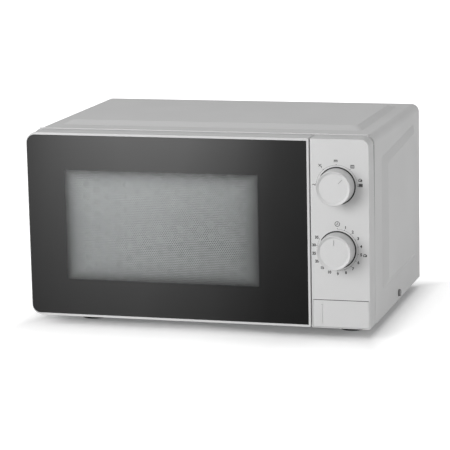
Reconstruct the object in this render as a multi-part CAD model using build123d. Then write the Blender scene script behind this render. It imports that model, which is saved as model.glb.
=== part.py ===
from build123d import *
import math
import os

os.makedirs("parts", exist_ok=True)

# A free-standing microwave oven, in millimetres. X runs to the right, Y to the back and Z up.
# The origin lies on the standing plane, under the middle of the oven.

# ---- cooking space and the gaps round it ----
cavity_width = 304.0
cavity_height = 202.0
cavity_depth = 278.0
cavity_corner = 7.0
left_gap = 28.0  # from the cooking space to the left side of the oven
bay_width = 119.5  # from the cooking space to the right side of the oven
floor_gap = 20.0
roof_gap = 19.0
back_gap = 6.1

# ---- sheet metal and clearances ----
steel = 1.0  # cavity, front plate, base and door panel
skin = 0.8  # outer cabinet and rear panel
fit = 0.3  # loose fit between neighbouring pieces
running = 0.05  # radial clearance of a shaft in its bearing
overcut = 1.0  # how far a cutting shape reaches past the face it opens

# ---- front of the oven ----
front_depth = 31.0  # door and control panel, in front of the cabinet
door_gap = 1.2
panel_gap = 0.8
panel_lean = 3.0  # how much wider that gap is at the top of the panel's free side
panel_lean_height = 130.0
split_gap = 1.4  # between the door and the control panel
latch_lap = 43.1  # how far the door reaches past the cooking space on the latch side
front_corner = 10.5
door_corner = 14.0
edge_round = 0.8
foot_height = 15.5
knob_proud = 22.0
screw_head = 1.8

body_width = left_gap + cavity_width + bay_width
body_height = floor_gap + cavity_height + roof_gap
cabinet_depth = steel + cavity_depth + steel + back_gap + 2 * skin
total_depth = knob_proud + front_depth + cabinet_depth + screw_head

left = -body_width / 2
right = body_width / 2
bottom = foot_height
top = bottom + body_height
middle_z = (bottom + top) / 2
front = -total_depth / 2 + knob_proud
cabinet_front = front + front_depth
rear = cabinet_front + cabinet_depth
rear_inside = rear - 2 * skin
door_right = left + left_gap + cavity_width + latch_lap
door_rear = cabinet_front - door_gap
panel_left = door_right + split_gap

cavity_x = (left + left_gap, left + left_gap + cavity_width)
cavity_z = (bottom + floor_gap, bottom + floor_gap + cavity_height)
cavity_front = cabinet_front + steel
cavity_y = (cavity_front, cavity_front + cavity_depth)
cavity_mid_x = sum(cavity_x) / 2
cavity_mid_y = sum(cavity_y) / 2
cavity_mid_z = sum(cavity_z) / 2
bay_left = cavity_x[1] + steel  # the component bay lies right of the cooking space
bay_right = right - skin
bay_mid_x = (bay_left + bay_right) / 2

# ---- outer cabinet ----
cabinet_rise = 4.5  # height of the raised fields in the top and the sides
rear_flange = 12.0
top_field_front = 39.0
top_field_rear = 31.0
top_field_side = 25.0
top_front_slope = 17.0
field_slope = 9.0
side_field_front = 44.0
side_field_rear = 34.0
side_field_foot = 36.0
side_field_head = 22.0
side_field_fall = 12.0  # how much lower the side field ends at the front than at the rear
side_front_slope = 18.0
field_corner = 6.0
side_screw_height = 9.0
side_screw_radius = 1.8
side_screw_head_radius = 4.8
side_screw_head = 3.0

# ---- base, rear panel and feet ----
base_lift = 1.0
base_flange = 16.0
base_lip = 8.0
foot_radius = 16.0
foot_neck = 13.5
foot_left = 62.5
foot_right = 38.0
foot_front = 69.0
foot_rear = 40.0
stud_radius = 3.0
stud_grip = 3.0
slot_width = 4.0
slot_length = 34.0
slot_pitch = 9.0
slot_count = 9
rear_screw_radius = 1.8
rear_screw_head_radius = 4.0
rear_screw_length = 6.0
inlet_radius = 6.5
inlet_bore = 4.0
inlet_flange_radius = 9.0
inlet_flange = 1.2
inlet_depth = 8.0
inlet_height = 38.0
base_top = bottom + base_lift + steel

# ---- front plate ----
plate_flange = 10.0
control_window_margin = 7.0
control_window_foot = 26.0
control_window_head = 23.0

# ---- door ----
door_wall = 2.2
rim_left = 1.0
rim = 3.0
glass_thickness = 3.2
glass_inset = 0.3
ledge = 2.0
window_width = 256.7
window_height = 143.3
window_border = 6.0
right_corner = 2.0
panel_setback = 13.0  # from the door's face to its steel panel
seal_width = 5.0
choke_width = 15.5
pan_inset = 6.0
cover_thickness = 1.5
film_thickness = 0.8
screen_pitch = 16.0
screen_hole_radius = 5.6
post_radius = 3.0
corner_relief = 3.0  # how much shorter the door's hinge-side wall is at the back

# ---- hinges ----
hinge_inset = 7.0
hinge_setback = 18.0
hinge_drop = 8.0
bracket_thickness = 1.5
bracket_width = 8.0
bracket_tab = 14.0
pin_radius = 2.5
pin_head = 0.9
pin_head_radius = 3.8
pin_grip = 12.0
hinge_boss_radius = 5.0
hinge_boss_length = 16.0
hinge_clear = 0.5
hinge_sweep = 15.0
hinge_x = left + hinge_inset
hinge_y = front + hinge_setback

# ---- latch: a two-pronged hook in the door and its board behind the front plate ----
hook_travel = 3.0
hook_from_edge = 18.1
hook_spacing = 118.0
hook_height = 58.0
hook_arm = 8.0
hook_thickness = 5.0
hook_bar_width = 9.0
hook_bar = 4.0
hook_bar_setback = 16.0
hook_reach = 22.0
barb_drop = 4.0
barb_length = 6.5
barb_clear = 0.5
ledge_height = 3.0
slot_side = 2.7  # room beside a hook, which swings with the door
hook_guide_length = 30.0
hook_guide_wall = 2.4
spring_radius = 2.5
spring_wire = 0.8
spring_turns = 4
hook_spring_length = 29.0
peg = 3.0
board_wall = 3.0
board_left_margin = 9.0
board_depth = 40.0
switch_width = 10.2
switch_depth = 15.9
switch_end = 2.8  # from a fixing hole to the switch's end
switch_pin_radius = 1.5
switch_pin_pitch = 22.2
blade_length = 6.0
blade_width = 4.0
blade_thickness = 0.8
hook_x = door_right - hook_from_edge
hook_low = bottom + hook_height
hook_y = front + hook_bar_setback
hook_tip_y = cabinet_front + hook_reach

# ---- open button and its lever ----
button_top = 36.3
button_seam = 0.8
button_rim = 1.3
button_wall = 1.5
button_skirt = 9.0
button_travel = 5.0
button_face = 2.2
pocket_depth = 16.0
pocket_wall = 2.0
pusher_inset = 10.5
pusher_height = 30.5
pusher_radius = 3.0
guide_radius = 2.5
guide_inset = 9.0
guide_height = 12.0
guide_length = 22.0
slide_clear = 0.15
button_line_inset = 13.1
button_line_width = 0.8
button_line_rise = 0.4
button_line_margin = 5.6
button_spring_radius = 4.0
lever_setback = 7.5
lever_height = 46.0
lever_arm = 15.5
lever_hub_radius = 3.0
lever_pin_radius = 1.5
lever_thickness = 3.0
lever_pad = 2.0
lever_pad_reach = 10.0
lever_pad_rise = 3.9
lever_bearing = 2.5
pusher_x = panel_left + pusher_inset
pusher_z = bottom + pusher_height
lever_y = cabinet_front + lever_setback
lever_z = bottom + lever_height

# ---- control panel, knobs and timer ----
panel_wall = 2.2
knob_inset = 33.9  # from the panel's left edge
timer_height = 101.0
power_height = 182.0
knob_radius = 22.6
knob_wall = 1.8
knob_gap = 0.6
knob_draft = 0.7
knob_bevel = 3.8
knob_dish = 2.0
knob_hub_radius = 6.0
mark_length = 7.0
mark_width = 0.8
mark_depth = 0.4
mark_start = 9.0
shaft_radius = 3.0
shaft_hole_radius = 4.5
shaft_grip = 12.0
timer_setback = 13.0
timer_plate = 1.2
timer_plate_width = 56.0
timer_plate_margin = 33.0
timer_size = (52.0, 32.0, 60.0)
selector_size = (44.0, 24.0, 40.0)
bell_radius = 18.0
bell_wall = 1.2
knob_x = panel_left + knob_inset
timer_z = bottom + timer_height
power_z = bottom + power_height
timer_face = front + timer_setback + timer_plate

# ---- turntable ----
dish_radius = 102.0
dish_depth = 1.5
tray_radius = 122.5
tray_thickness = 4.0
tray_rim = 10.0
track_radius = 88.0
roller_radius = 7.0
roller_width = 8.0
axle_radius = 2.0
ring_radius = 76.0
ring_width = 5.0
ring_height = 5.0
coupler_radius = 17.0
coupler_hub_radius = 6.0
coupler_lobe = 5.0
coupler_lobe_width = 9.0
tray_lug = 3.5
turntable_shaft_radius = 3.5
motor_radius = 24.5
motor_height = 14.0
motor_ear = 35.0
track_z = cavity_z[0] - dish_depth
roller_z = track_z + fit + roller_radius
tray_z = roller_z + roller_radius + fit

# ---- microwave source ----
guide_depth = 18.0  # the waveguide's
guide_front = 96.0
guide_length_y = 100.0
guide_foot = 115.0
guide_height_z = 80.0
port_width = 26.0
port_margin = 8.0
mica_thickness = 0.5
mica_margin = 6.0
magnetron_size = (54.0, 76.0, 76.0)
magnetron_from_guide = 16.0
anode_radius = 19.0
antenna_radius = 8.0
antenna_reach = 14.0
fin_count = 6
fin_thickness = 0.8
magnet_radius = 26.0
magnet_height = 9.0
yoke_wall = 1.5
filter_size = (26.0, 48.0, 50.0)
magnetron_y = cabinet_front + guide_front + magnetron_from_guide + magnetron_size[1] / 2
magnetron_z = bottom + guide_foot + guide_height_z / 2

# ---- high-voltage supply ----
core_size = (88.0, 58.0, 72.0)
core_leg = 28.0
core_yoke = 14.0
coil_build = 13.5
primary_height = 22.0
secondary_height = 17.0
core_foot = (104.0, 74.0, 1.6)
transformer_setback = 92.0
can_size = (92.0, 54.0, 34.0)
can_setback = 185.0
terminal_radius = 3.0
terminal_length = 8.0
clamp_thickness = 1.2
clamp_width = 14.0
clamp_ear = 12.0
diode_radius = 3.0
diode_length = 16.0

# ---- cooling fan ----
fan_height = 140.0
fan_radius = 47.0
fan_tip_gap = 3.0
fan_ring_wall = 2.4
fan_ring_depth = 24.0
fan_blades = 5
fan_hub_radius = 12.0
fan_pitch = 28.0
fan_width = 16.0
fan_blade_thickness = 1.6
fan_setback = 4.5
fan_shaft_radius = 1.5
spider_arm = 7.0
spider_thickness = 3.0
spider_hub_radius = 11.0
fan_motor_size = (48.0, 14.0, 40.0)
fan_bridge = 5.0
fan_coil = 20.0
fan_z = bottom + fan_height

# ---- lamp, cut-outs and filter board ----
lamp_setback = 62.0
lamp_height = 195.0
bulb_radius = 9.0
bulb_length = 26.0
bulb_gap = 4.0
socket_radius = 11.0
socket_length = 14.0
lamp_strap = 1.2
vent_hole_radius = 2.4
vent_pitch = 8.0
cutout_radius = 8.0
cutout_height = 7.0
board_size = (80.0, 50.0, 1.6)
board_leg = 4.0
board_leg_radius = 2.0
board_leg_inset = 5.0
board_part = 8.0
choke_ring_radius = 9.0
film_can = (10.0, 24.0)


def block(x, y, z):
    """A box between a low and a high limit along each axis."""
    limits = (x, y, z)
    middle = [(low + high) / 2 for low, high in limits]
    size = [high - low for low, high in limits]
    return Pos(*middle) * Box(*size)


def span(middle, size):
    """The low and high limits of a size about its middle."""
    return (middle - size / 2, middle + size / 2)


def rod(start, direction, radius, length):
    """A cylinder that runs from a point in a direction."""
    bar = Cylinder(radius, length, align=(Align.CENTER, Align.CENTER, Align.MIN))
    return Plane(origin=start, z_dir=direction).location * bar


def slab(x, z, y, low_left=0.0, high_left=0.0, high_right=0.0, low_right=0.0):
    """A plate seen from the front, with a radius at each corner, between two depths."""
    width, height = x[1] - x[0], z[1] - z[0]
    face = Rectangle(width, height)
    corners = [(-1, -1, low_left), (-1, 1, high_left), (1, 1, high_right), (1, -1, low_right)]
    for across, up, radius in corners:
        if radius > 0:
            point = (across * width / 2, up * height / 2, 0)
            face = fillet(face.vertices().sort_by_distance(point)[0], radius)
    place = Plane(origin=(sum(x) / 2, y[1], sum(z) / 2), x_dir=(1, 0, 0), z_dir=(0, -1, 0))
    return extrude(place * face, amount=y[1] - y[0])


def grown(limits, amount):
    """Limits moved outwards by an amount at both ends."""
    return (limits[0] - amount, limits[1] + amount)


def both_ends(piece):
    """A piece at the door's upper end, and the same at its lower end."""
    return [piece, mirror(piece, about=Plane.XY.offset(middle_z))]


def turned(profile, axis):
    """A full turn of a closed profile."""
    return revolve(profile, axis=axis)


# ---------------------------------------------------------------- cabinet


def top_field(lift):
    """The raised field of the cabinet's top, lifted or sunk by a sheet's thickness."""
    low_x = (left + top_field_side, right - top_field_side)
    low_y = (cabinet_front + top_field_front, rear - top_field_rear)
    high_x = grown(low_x, -field_slope)
    high_y = (low_y[0] + top_front_slope, low_y[1] - field_slope)
    low = RectangleRounded(low_x[1] - low_x[0], low_y[1] - low_y[0], field_corner)
    high = RectangleRounded(high_x[1] - high_x[0], high_y[1] - high_y[0], field_corner)
    low_face = Pos(sum(low_x) / 2, sum(low_y) / 2, top + lift) * low
    high_face = Pos(sum(high_x) / 2, sum(high_y) / 2, top + cabinet_rise + lift) * high
    return loft([low_face.face(), high_face.face()], ruled=True)


def side_field(lift):
    """The raised field of the cabinet's right side, whose head rises towards the rear."""
    front_y = cabinet_front + side_field_front
    rear_y = rear - side_field_rear
    foot = bottom + side_field_foot
    head = top - side_field_head
    low = [(front_y, foot), (rear_y, foot), (rear_y, head), (front_y, head - side_field_fall)]
    front_in, rear_in = front_y + side_front_slope, rear_y - side_front_slope
    foot_in, head_in = foot + field_slope, head - field_slope
    high = [(front_in, foot_in), (rear_in, foot_in), (rear_in, head_in)]
    high.append((front_in, head_in - side_field_fall))
    faces = []
    for points, height in ((low, lift), (high, cabinet_rise + lift)):
        outline = fillet(Polygon(*points, align=None).vertices(), field_corner)
        faces.append((Plane.YZ.offset(right + height) * outline).face())
    return loft(faces, ruled=True)


def raised_shape(shape, lift):
    """The cabinet's outer or inner shape with its three raised fields."""
    side = side_field(lift)
    return shape + top_field(lift) + side + mirror(side, about=Plane.YZ)


def outer_cabinet():
    """Top and sides folded from one sheet, open at the front and below, with a rear flange."""
    shape = slab((left, right), (bottom, top), (cabinet_front, rear), 0, front_corner, front_corner)
    inside = slab(
        (left + skin, right - skin),
        (bottom - overcut, top - skin),
        (cabinet_front - overcut, rear - skin),
        0,
        front_corner - skin,
        front_corner - skin,
    )
    back = block(
        (left + rear_flange, right - rear_flange),
        (rear - skin - overcut, rear + overcut),
        (bottom - overcut, top - rear_flange),
    )
    sheet = raised_shape(shape, 0) - raised_shape(inside, -skin) - back
    for point, direction in side_screw_places():
        sheet -= rod(point, direction, side_screw_radius + fit, 2 * rear_flange)
    for point in rear_screw_places():
        sheet -= rod(point, (0, -1, 0), rear_screw_radius + fit, rear_flange)
    return sheet


def side_screw_places():
    """Where each side screw enters the cabinet, and its direction."""
    y = (cabinet_front + rear) / 2
    z = bottom + side_screw_height
    return [((right, y, z), (-1, 0, 0)), ((left, y, z), (1, 0, 0))]


def rear_screw_places():
    """Where the screws enter from behind: along the top, and one low on each side."""
    edge = rear_flange / 2
    places = [(x, rear, top - edge) for x in (left + 4 * rear_flange, 0, right - 4 * rear_flange)]
    low = bottom + 3 * rear_flange
    places += [(left + edge, rear, low), (right - edge, rear, low)]
    return places


def screw(point, direction, radius, length, head_radius, head):
    """A screw whose head rests on the surface that it enters."""
    outward = [-step for step in direction]
    cap = rod(point, outward, head_radius, head)
    rim_edges = cap.faces().sort_by(Axis(point, outward))[-1].edges()
    return fillet(rim_edges, head * 0.45) + rod(point, direction, radius, length)


def side_screws():
    """The washer-head screws that hold the cabinet to the base."""
    sizes = (side_screw_radius, plate_flange, side_screw_head_radius, side_screw_head)
    return [screw(point, direction, *sizes) for point, direction in side_screw_places()]


def rear_screws():
    """The screws that hold the cabinet's rear flange to the rear panel."""
    sizes = (rear_screw_radius, rear_screw_length, rear_screw_head_radius, screw_head)
    return [screw(point, (0, -1, 0), *sizes) for point in rear_screw_places()]


def slots(x, y, z, across, along, thickness_axis):
    """A row of vent slots: their pitch runs along one axis, their length along another."""
    cuts = []
    for number in range(slot_count):
        shift = (number - (slot_count - 1) / 2) * slot_pitch
        limits = {"x": span(x, 0), "y": span(y, 0), "z": span(z, 0)}
        limits[across] = span(sum(limits[across]) / 2 + shift, slot_width)
        limits[along] = span(sum(limits[along]) / 2, slot_length)
        limits[thickness_axis] = span(sum(limits[thickness_axis]) / 2, 4 * overcut)
        cuts.append(block(limits["x"], limits["y"], limits["z"]))
    return cuts


def base_plate():
    """A tray with low walls on its sides and back, vents under the bay and a hole per foot."""
    x = (left + skin + fit, right - skin - fit)
    y = (cabinet_front + steel, rear_inside)
    z = (bottom + base_lift, bottom + base_lift + base_flange)
    tray = block(x, y, z) - block(grown(x, -steel), grown(y, -steel), (z[0] + steel, z[1] + overcut))
    tray = fillet(tray.edges().filter_by(Axis.Y).group_by(Axis.Z)[0], steel)
    lip = (y[0] - overcut, y[0] + steel + overcut)
    tray -= block(grown(x, -2 * steel), lip, (z[0] + base_lip, z[1] + overcut))
    notch_x = span(hinge_x, bracket_width + 2 * fit)
    tray -= block(notch_x, lip, (z[0] + steel, z[1] + overcut))
    for px, py in foot_places():
        tray -= rod((px, py, bottom), (0, 0, 1), stud_radius + fit / 2, base_flange)
    level = bottom + base_lift + steel / 2
    behind = y[1] - rear_flange - slot_count * slot_pitch / 2
    tray -= slots(bay_left + slot_length, behind, level, "y", "x", "z")
    tray -= slots(left + 2 * slot_length, cavity_mid_y, level, "y", "x", "z")
    for point, direction in side_screw_places():
        tray -= rod(point, direction, side_screw_radius + fit / 2, rear_flange)
    return tray


def foot_places():
    """Where the four feet stand."""
    ys = (front + foot_front, rear - foot_rear)
    return [(x, y) for x in (left + foot_left, right - foot_right) for y in ys]


def feet():
    """Four round feet, hollowed below, each with a stud that snaps into the base."""
    under = bottom + base_lift
    profile = Polygon(
        (foot_radius / 2, 0),
        (foot_radius, 0),
        (foot_neck, under),
        (stud_radius, under),
        (stud_radius, under + steel + stud_grip),
        (0, under + steel + stud_grip),
        (0, stud_grip),
        (foot_radius / 2 - stud_grip / 2, stud_grip),
        align=None,
    )
    foot = turned(Plane.XZ * profile, Axis.Z)
    return [Pos(x, y, 0) * foot for x, y in foot_places()]


def rear_panel():
    """The flat rear wall inside the cabinet's flange, with fan and outlet vents."""
    x = (left + skin + fit, right - skin - fit)
    z = (bottom + base_lift, top - skin - fit)
    corner = front_corner - skin - fit
    panel = slab(x, z, (rear_inside, rear - skin), 0, corner, corner)
    level = rear - 1.5 * skin
    for row in (-1, 1):
        height = fan_z + row * (slot_length + slot_width) / 2
        panel -= slots(bay_mid_x, level, height, "x", "z", "y")
    panel -= slots(left + 2 * slot_length, level, middle_z, "x", "z", "y")
    for point in rear_screw_places():
        panel -= rod(point, (0, -1, 0), rear_screw_radius + running, rear_flange)
    panel -= rod(inlet_place(), (0, -1, 0), inlet_radius + fit / 2, rear_flange)
    return panel


def inlet_place():
    """The middle of the cord inlet, on the rear panel's outer face."""
    return (bay_mid_x + slot_length / 2, rear - skin, bottom + inlet_height)


def cord_inlet():
    """A grommet for the mains lead, snapped into the rear panel."""
    x, y, z = inlet_place()
    bush = rod((x, y, z), (0, 1, 0), inlet_flange_radius, inlet_flange)
    bush += rod((x, y, z), (0, -1, 0), inlet_radius, inlet_depth)
    inner = rear_inside - fit / 2
    bush += rod((x, inner, z), (0, -1, 0), inlet_radius + 1.5 * fit + 0.5, inlet_flange)
    return bush - rod((x, y + 2 * inlet_flange, z), (0, -1, 0), inlet_bore, 2 * inlet_depth)


# ---------------------------------------------------------------- cavity and front plate


def cavity_block(growth, y, corner):
    """The cooking space, grown outwards all round, between two depths."""
    return slab(grown(cavity_x, growth), grown(cavity_z, growth), y, *[corner] * 4)


def hook_slots(y, growth=0.0):
    """The two openings that the hooks pass through."""
    cuts = []
    for number in (0, 1):
        low = hook_low + number * hook_spacing
        x = grown(span(hook_x, hook_thickness), slot_side + growth)
        z = (low - barb_drop - hook_travel - 1.5 - growth, low + hook_arm + 1.5 + growth)
        cuts.append(block(x, y, z))
    return cuts


def front_plate():
    """The frame round the mouth of the cavity, flanged back into the cabinet."""
    x = (left + skin + fit, right - skin - fit)
    z = (bottom + base_lift, top - skin - fit)
    corner = front_corner - skin - fit
    y = (cabinet_front, cabinet_front + plate_flange)
    plate = slab(x, z, y, 0, corner, corner)
    inside = (cabinet_front + steel, y[1] + overcut)
    low = z[0] - overcut
    plate -= slab(grown(x, -steel), (low, z[1] - steel), inside, 0, corner - steel, corner - steel)
    plate -= block(grown(x, overcut), inside, (low, z[0] + base_flange + 2 * fit))
    plate -= cavity_block(0, grown(y, overcut), cavity_corner)
    window_z = (bottom + control_window_foot, top - control_window_head)
    window_x = (panel_left + control_window_margin - 1.5, right - control_window_margin)
    plate -= block(window_x, grown(y, overcut), window_z)
    plate -= hook_slots(grown(y, overcut))
    return plate - both_ends(hinge_strip(fit, (cabinet_front - overcut, y[1])))


def hinge_strip(growth, y):
    """The upper hinge bracket's tongue, grown by a clearance, between two depths."""
    z = top - hinge_drop
    tongue_z = (z - bracket_thickness - growth, z + growth)
    return block(grown(span(hinge_x, bracket_width), growth), y, tongue_z)


def cavity():
    """The cooking space: a box of sheet with a flange, ports, vents and a dished floor."""
    mouth_y = (cavity_front, cavity_y[1] + steel)
    box = cavity_block(steel, mouth_y, cavity_corner + steel)
    box += cavity_block(plate_flange - 2 * fit, (cavity_front, cavity_front + steel), cavity_corner)
    centre = (cavity_mid_x, cavity_mid_y, cavity_z[0])
    box += rod(centre, (0, 0, -1), dish_radius + steel, dish_depth + steel)
    box -= cavity_block(0, (cavity_front - overcut, cavity_y[1]), cavity_corner)
    box -= rod((centre[0], centre[1], track_z), (0, 0, 1), dish_radius, 2 * dish_depth)
    shaft_hole = coupler_hub_radius + 2 * fit
    box -= rod((centre[0], centre[1], track_z - 2 * steel), (0, 0, 1), shaft_hole, 4 * steel)
    wall_x = (cavity_x[1] - overcut, cavity_x[1] + steel + overcut)
    port_y = guide_y()[0] + port_margin
    port_z = grown(guide_z(), -port_margin)
    box -= block(wall_x, (port_y, port_y + port_width), port_z)
    middle = (cavity_x[1], cabinet_front + lamp_setback, bottom + lamp_height)
    box -= vents(middle, Plane.YZ)
    box -= vents((cavity_x[1], cavity_y[1] - 2 * vent_pitch, middle[2]), Plane.YZ)
    outlet = (cavity_x[0] - steel, cavity_mid_y, cavity_z[1] - 3 * vent_pitch)
    box -= vents(outlet, Plane.YZ)
    return box


def vents(middle, plane):
    """A small field of hexagonal holes through a side wall."""
    place = Plane(origin=middle, x_dir=plane.x_dir, z_dir=plane.z_dir)
    return hole_field(place, vent_pitch / math.sqrt(3), 4, 3, vent_hole_radius)


def hole_field(place, cell, columns, rows, radius):
    """A honeycomb of hexagonal holes, as a cutting shape through a thin wall."""
    spots = HexLocations(cell, columns, rows)
    cells = [place * spot * RegularPolygon(radius, 6) for spot in spots]
    return extrude(Sketch() + cells, amount=2 * steel, both=True)


def guide_y():
    """The waveguide's limits from front to back."""
    start = cabinet_front + guide_front
    return (start, start + guide_length_y)


def guide_z():
    """The waveguide's limits in height."""
    start = bottom + guide_foot
    return (start, start + guide_height_z)


def waveguide():
    """A flanged sheet box on the cavity's wall, with a hole for the magnetron's antenna."""
    x = (bay_left, bay_left + guide_depth)
    shape = block(x, guide_y(), guide_z())
    inner = block((x[0] - overcut, x[1] - steel), grown(guide_y(), -steel), grown(guide_z(), -steel))
    flange = block((x[0], x[0] + steel), grown(guide_y(), 6 * steel), grown(guide_z(), 6 * steel))
    hole = rod((x[0], magnetron_y, magnetron_z), (1, 0, 0), antenna_radius + 2, 2 * guide_depth)
    return shape + flange - inner - hole


def waveguide_cover():
    """The mica sheet over the waveguide's port, on the cavity's inner wall."""
    port_y = guide_y()[0] + port_margin
    y = grown((port_y, port_y + port_width), mica_margin)
    z = grown(grown(guide_z(), -port_margin), mica_margin)
    x = (cavity_x[1] - mica_thickness, cavity_x[1])
    sheet = block(x, y, z)
    return fillet(sheet.edges().filter_by(Axis.X), mica_margin / 2)


# ---------------------------------------------------------------- door


def hinge_bracket():
    """A flat tongue that reaches from the front plate to the upper hinge axis."""
    z = top - hinge_drop
    tongue = hinge_strip(0, (hinge_y, cabinet_front + steel + bracket_thickness))
    tongue += rod((hinge_x, hinge_y, z), (0, 0, -1), bracket_width / 2, bracket_thickness)
    tab_y = (cabinet_front + steel, cabinet_front + steel + bracket_thickness)
    tab = block(span(hinge_x, bracket_width), tab_y, (z - bracket_tab, z))
    hole = rod((hinge_x, hinge_y, z + overcut), (0, 0, -1), pin_radius, bracket_tab)
    return tongue + tab - hole


def hinge_pin():
    """The upper hinge pin, headed above its bracket."""
    z = top - hinge_drop
    shank = rod((hinge_x, hinge_y, z), (0, 0, -1), pin_radius, bracket_thickness + pin_grip)
    return shank + rod((hinge_x, hinge_y, z), (0, 0, 1), pin_head_radius, pin_head)


def hinge_boss():
    """The door's upper hinge boss and the web that ties it to the ledge."""
    z = top - hinge_drop - bracket_thickness - hinge_clear
    boss = rod((hinge_x, hinge_y, z), (0, 0, -1), hinge_boss_radius, hinge_boss_length)
    web_y = (front + glass_thickness + glass_inset, hinge_y)
    web = block(span(hinge_x, door_wall), web_y, (z - hinge_boss_length, z))
    return boss + web


def hinge_bore():
    """The bore of the upper boss, room for the pin's head and the space its bracket sweeps."""
    z = top - hinge_drop
    bore = rod((hinge_x, hinge_y, z), (0, 0, -1), pin_radius + running, 2 * hinge_boss_length)
    bore += rod((hinge_x, hinge_y, z), (0, 0, 1), pin_head_radius + fit, pin_head + fit)
    gap = bracket_thickness + 2 * hinge_clear
    sweep = rod((hinge_x, hinge_y, z + hinge_clear), (0, 0, -1), hinge_sweep, gap)
    keep = block(
        (hinge_x - 2 * hinge_sweep, hinge_x + 2 * hinge_sweep),
        (front, hinge_y - hinge_boss_radius - hinge_clear),
        (bottom, top),
    )
    return bore, sweep - keep


def door_outline(inset_left, inset, y, corner_right=right_corner):
    """The door's outline, drawn in by a wall, between two depths."""
    x = (left + inset_left, door_right - inset)
    z = (bottom + inset, top - inset)
    corner_left = door_corner - inset
    right_radius = max(corner_right - inset, 0)
    return slab(x, z, y, corner_left, corner_left, right_radius, right_radius)


def door_posts():
    """The points where the steel panel is screwed to posts on the frame's ledge."""
    x = grown(cavity_x, choke_width - 2 * post_radius)
    z = grown(cavity_z, choke_width - 2 * post_radius)
    points = [(px, pz) for px in span(cavity_mid_x, window_width / 2) for pz in z]
    return points + [(px, cavity_mid_z) for px in x]


def window_block(growth, y):
    """The window's rectangle, grown outwards, between two depths."""
    x = grown(span(cavity_mid_x, window_width), growth)
    z = grown(span(cavity_mid_z, window_height), growth)
    return block(x, y, z)


def door_frame():
    """The moulded door: rim, glass ledge, hollow back, hinge bosses and the hook's guide."""
    frame = door_outline(0, 0, (front, door_rear))
    rim_edges = frame.edges().group_by(Axis.Y)[0]
    frame = fillet(rim_edges, edge_round)
    ledge_y = front + glass_thickness + glass_inset
    frame -= door_outline(rim_left, rim, (front - overcut, ledge_y))
    frame -= window_block(window_border, (front, door_rear))
    hollow_y = (ledge_y + ledge, door_rear + overcut)
    frame -= door_outline(door_wall, door_wall, hollow_y)
    frame -= block(
        (left - overcut, left + 2 * door_wall),
        (door_rear - corner_relief, door_rear + overcut),
        (bottom - overcut, top + overcut),
    )
    post_length = panel_setback - glass_thickness - glass_inset
    for x, z in door_posts():
        frame += rod((x, ledge_y, z), (0, 1, 0), post_radius, post_length)
    frame += both_ends(hinge_boss())
    bore, sweep = hinge_bore()
    frame -= both_ends(bore)
    frame -= both_ends(sweep)
    guide_x = grown(span(hook_x, hook_bar_width), hook_guide_wall)
    guide_z = span(middle_z, hook_guide_length)
    guide = block(guide_x, (ledge_y, hook_y + hook_bar + fit), guide_z)
    channel_x = grown(span(hook_x, hook_bar_width), fit)
    guide -= block(channel_x, (hook_y - fit, door_rear), grown(guide_z, overcut))
    frame += guide
    frame += block(
        (hook_spring_x() - spring_radius - spring_wire, door_right - door_wall / 2),
        (ledge_y, hook_y + hook_bar),
        (hook_spring_z() - peg, hook_spring_z()),
    )
    return frame


def hook_spring_x():
    """The middle of the hook's spring, beside the hook's bar."""
    return hook_x + hook_bar_width / 2 + spring_radius + 2 * spring_wire


def hook_spring_z():
    """The spring's lower, fixed end."""
    return middle_z - hook_guide_length / 2 - peg - hook_travel - 4 * fit - hook_spring_length - peg


def door_glass():
    """The flat outer glass, flush in the frame's rim."""
    face = front + glass_inset
    return door_outline(rim_left + fit, rim + fit, (face, face + glass_thickness), right_corner)


def door_panel():
    """The steel inner panel: perforated window, sealing face and choke channel."""
    face = front + panel_setback
    outer_y = (face, door_rear - 2 * cover_thickness)
    outer = slab(grown(cavity_x, choke_width), grown(cavity_z, choke_width), outer_y)
    inner = slab(
        grown(cavity_x, choke_width - steel),
        grown(cavity_z, choke_width - steel),
        (face + steel, door_rear),
    )
    panel = outer - inner
    seal = slab(grown(cavity_x, seal_width), grown(cavity_z, seal_width), (face + steel, door_rear))
    seal -= slab(
        grown(cavity_x, seal_width - steel),
        grown(cavity_z, seal_width - steel),
        (face, door_rear - steel),
    )
    seal -= slab(grown(cavity_x, -pan_inset), grown(cavity_z, -pan_inset), (face, door_rear + overcut))
    panel += seal
    place = Plane(origin=(cavity_mid_x, face, cavity_mid_z), x_dir=(1, 0, 0), z_dir=(0, -1, 0))
    columns = int(window_width / screen_pitch)
    rows = int(window_height / (screen_pitch * math.sqrt(3) / 2))
    return panel - hole_field(place, screen_pitch / 2, columns, rows, screen_hole_radius)


def choke_cover():
    """The door's plastic inner frame over the choke, slotted for the hooks."""
    x = (left + 2 * door_wall + fit, door_right - door_wall - fit)
    z = grown((bottom, top), -door_wall - fit)
    corner = door_corner - door_wall - fit
    cover = slab(x, z, (door_rear - cover_thickness, door_rear), corner, corner)
    lip = slab(
        grown(cavity_x, choke_width - steel - fit),
        grown(cavity_z, choke_width - steel - fit),
        (door_rear - 3 * cover_thickness, door_rear - cover_thickness),
    )
    lip -= slab(
        grown(cavity_x, choke_width - 2 * steel - fit),
        grown(cavity_z, choke_width - 2 * steel - fit),
        (front, door_rear),
    )
    cover += lip
    cover -= slab(grown(cavity_x, seal_width + fit), grown(cavity_z, seal_width + fit), (front, rear))
    cover -= hook_slots((door_rear - 2 * cover_thickness, rear), -fit)
    return cover - both_ends(hinge_bore()[1]) - both_ends(hinge_bore()[0])


def inner_window():
    """The clear sheet behind the sealing face, over the whole inner opening."""
    y = (door_rear - steel - film_thickness, door_rear - steel)
    growth = seal_width - steel - fit
    return slab(grown(cavity_x, growth), grown(cavity_z, growth), y)


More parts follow.
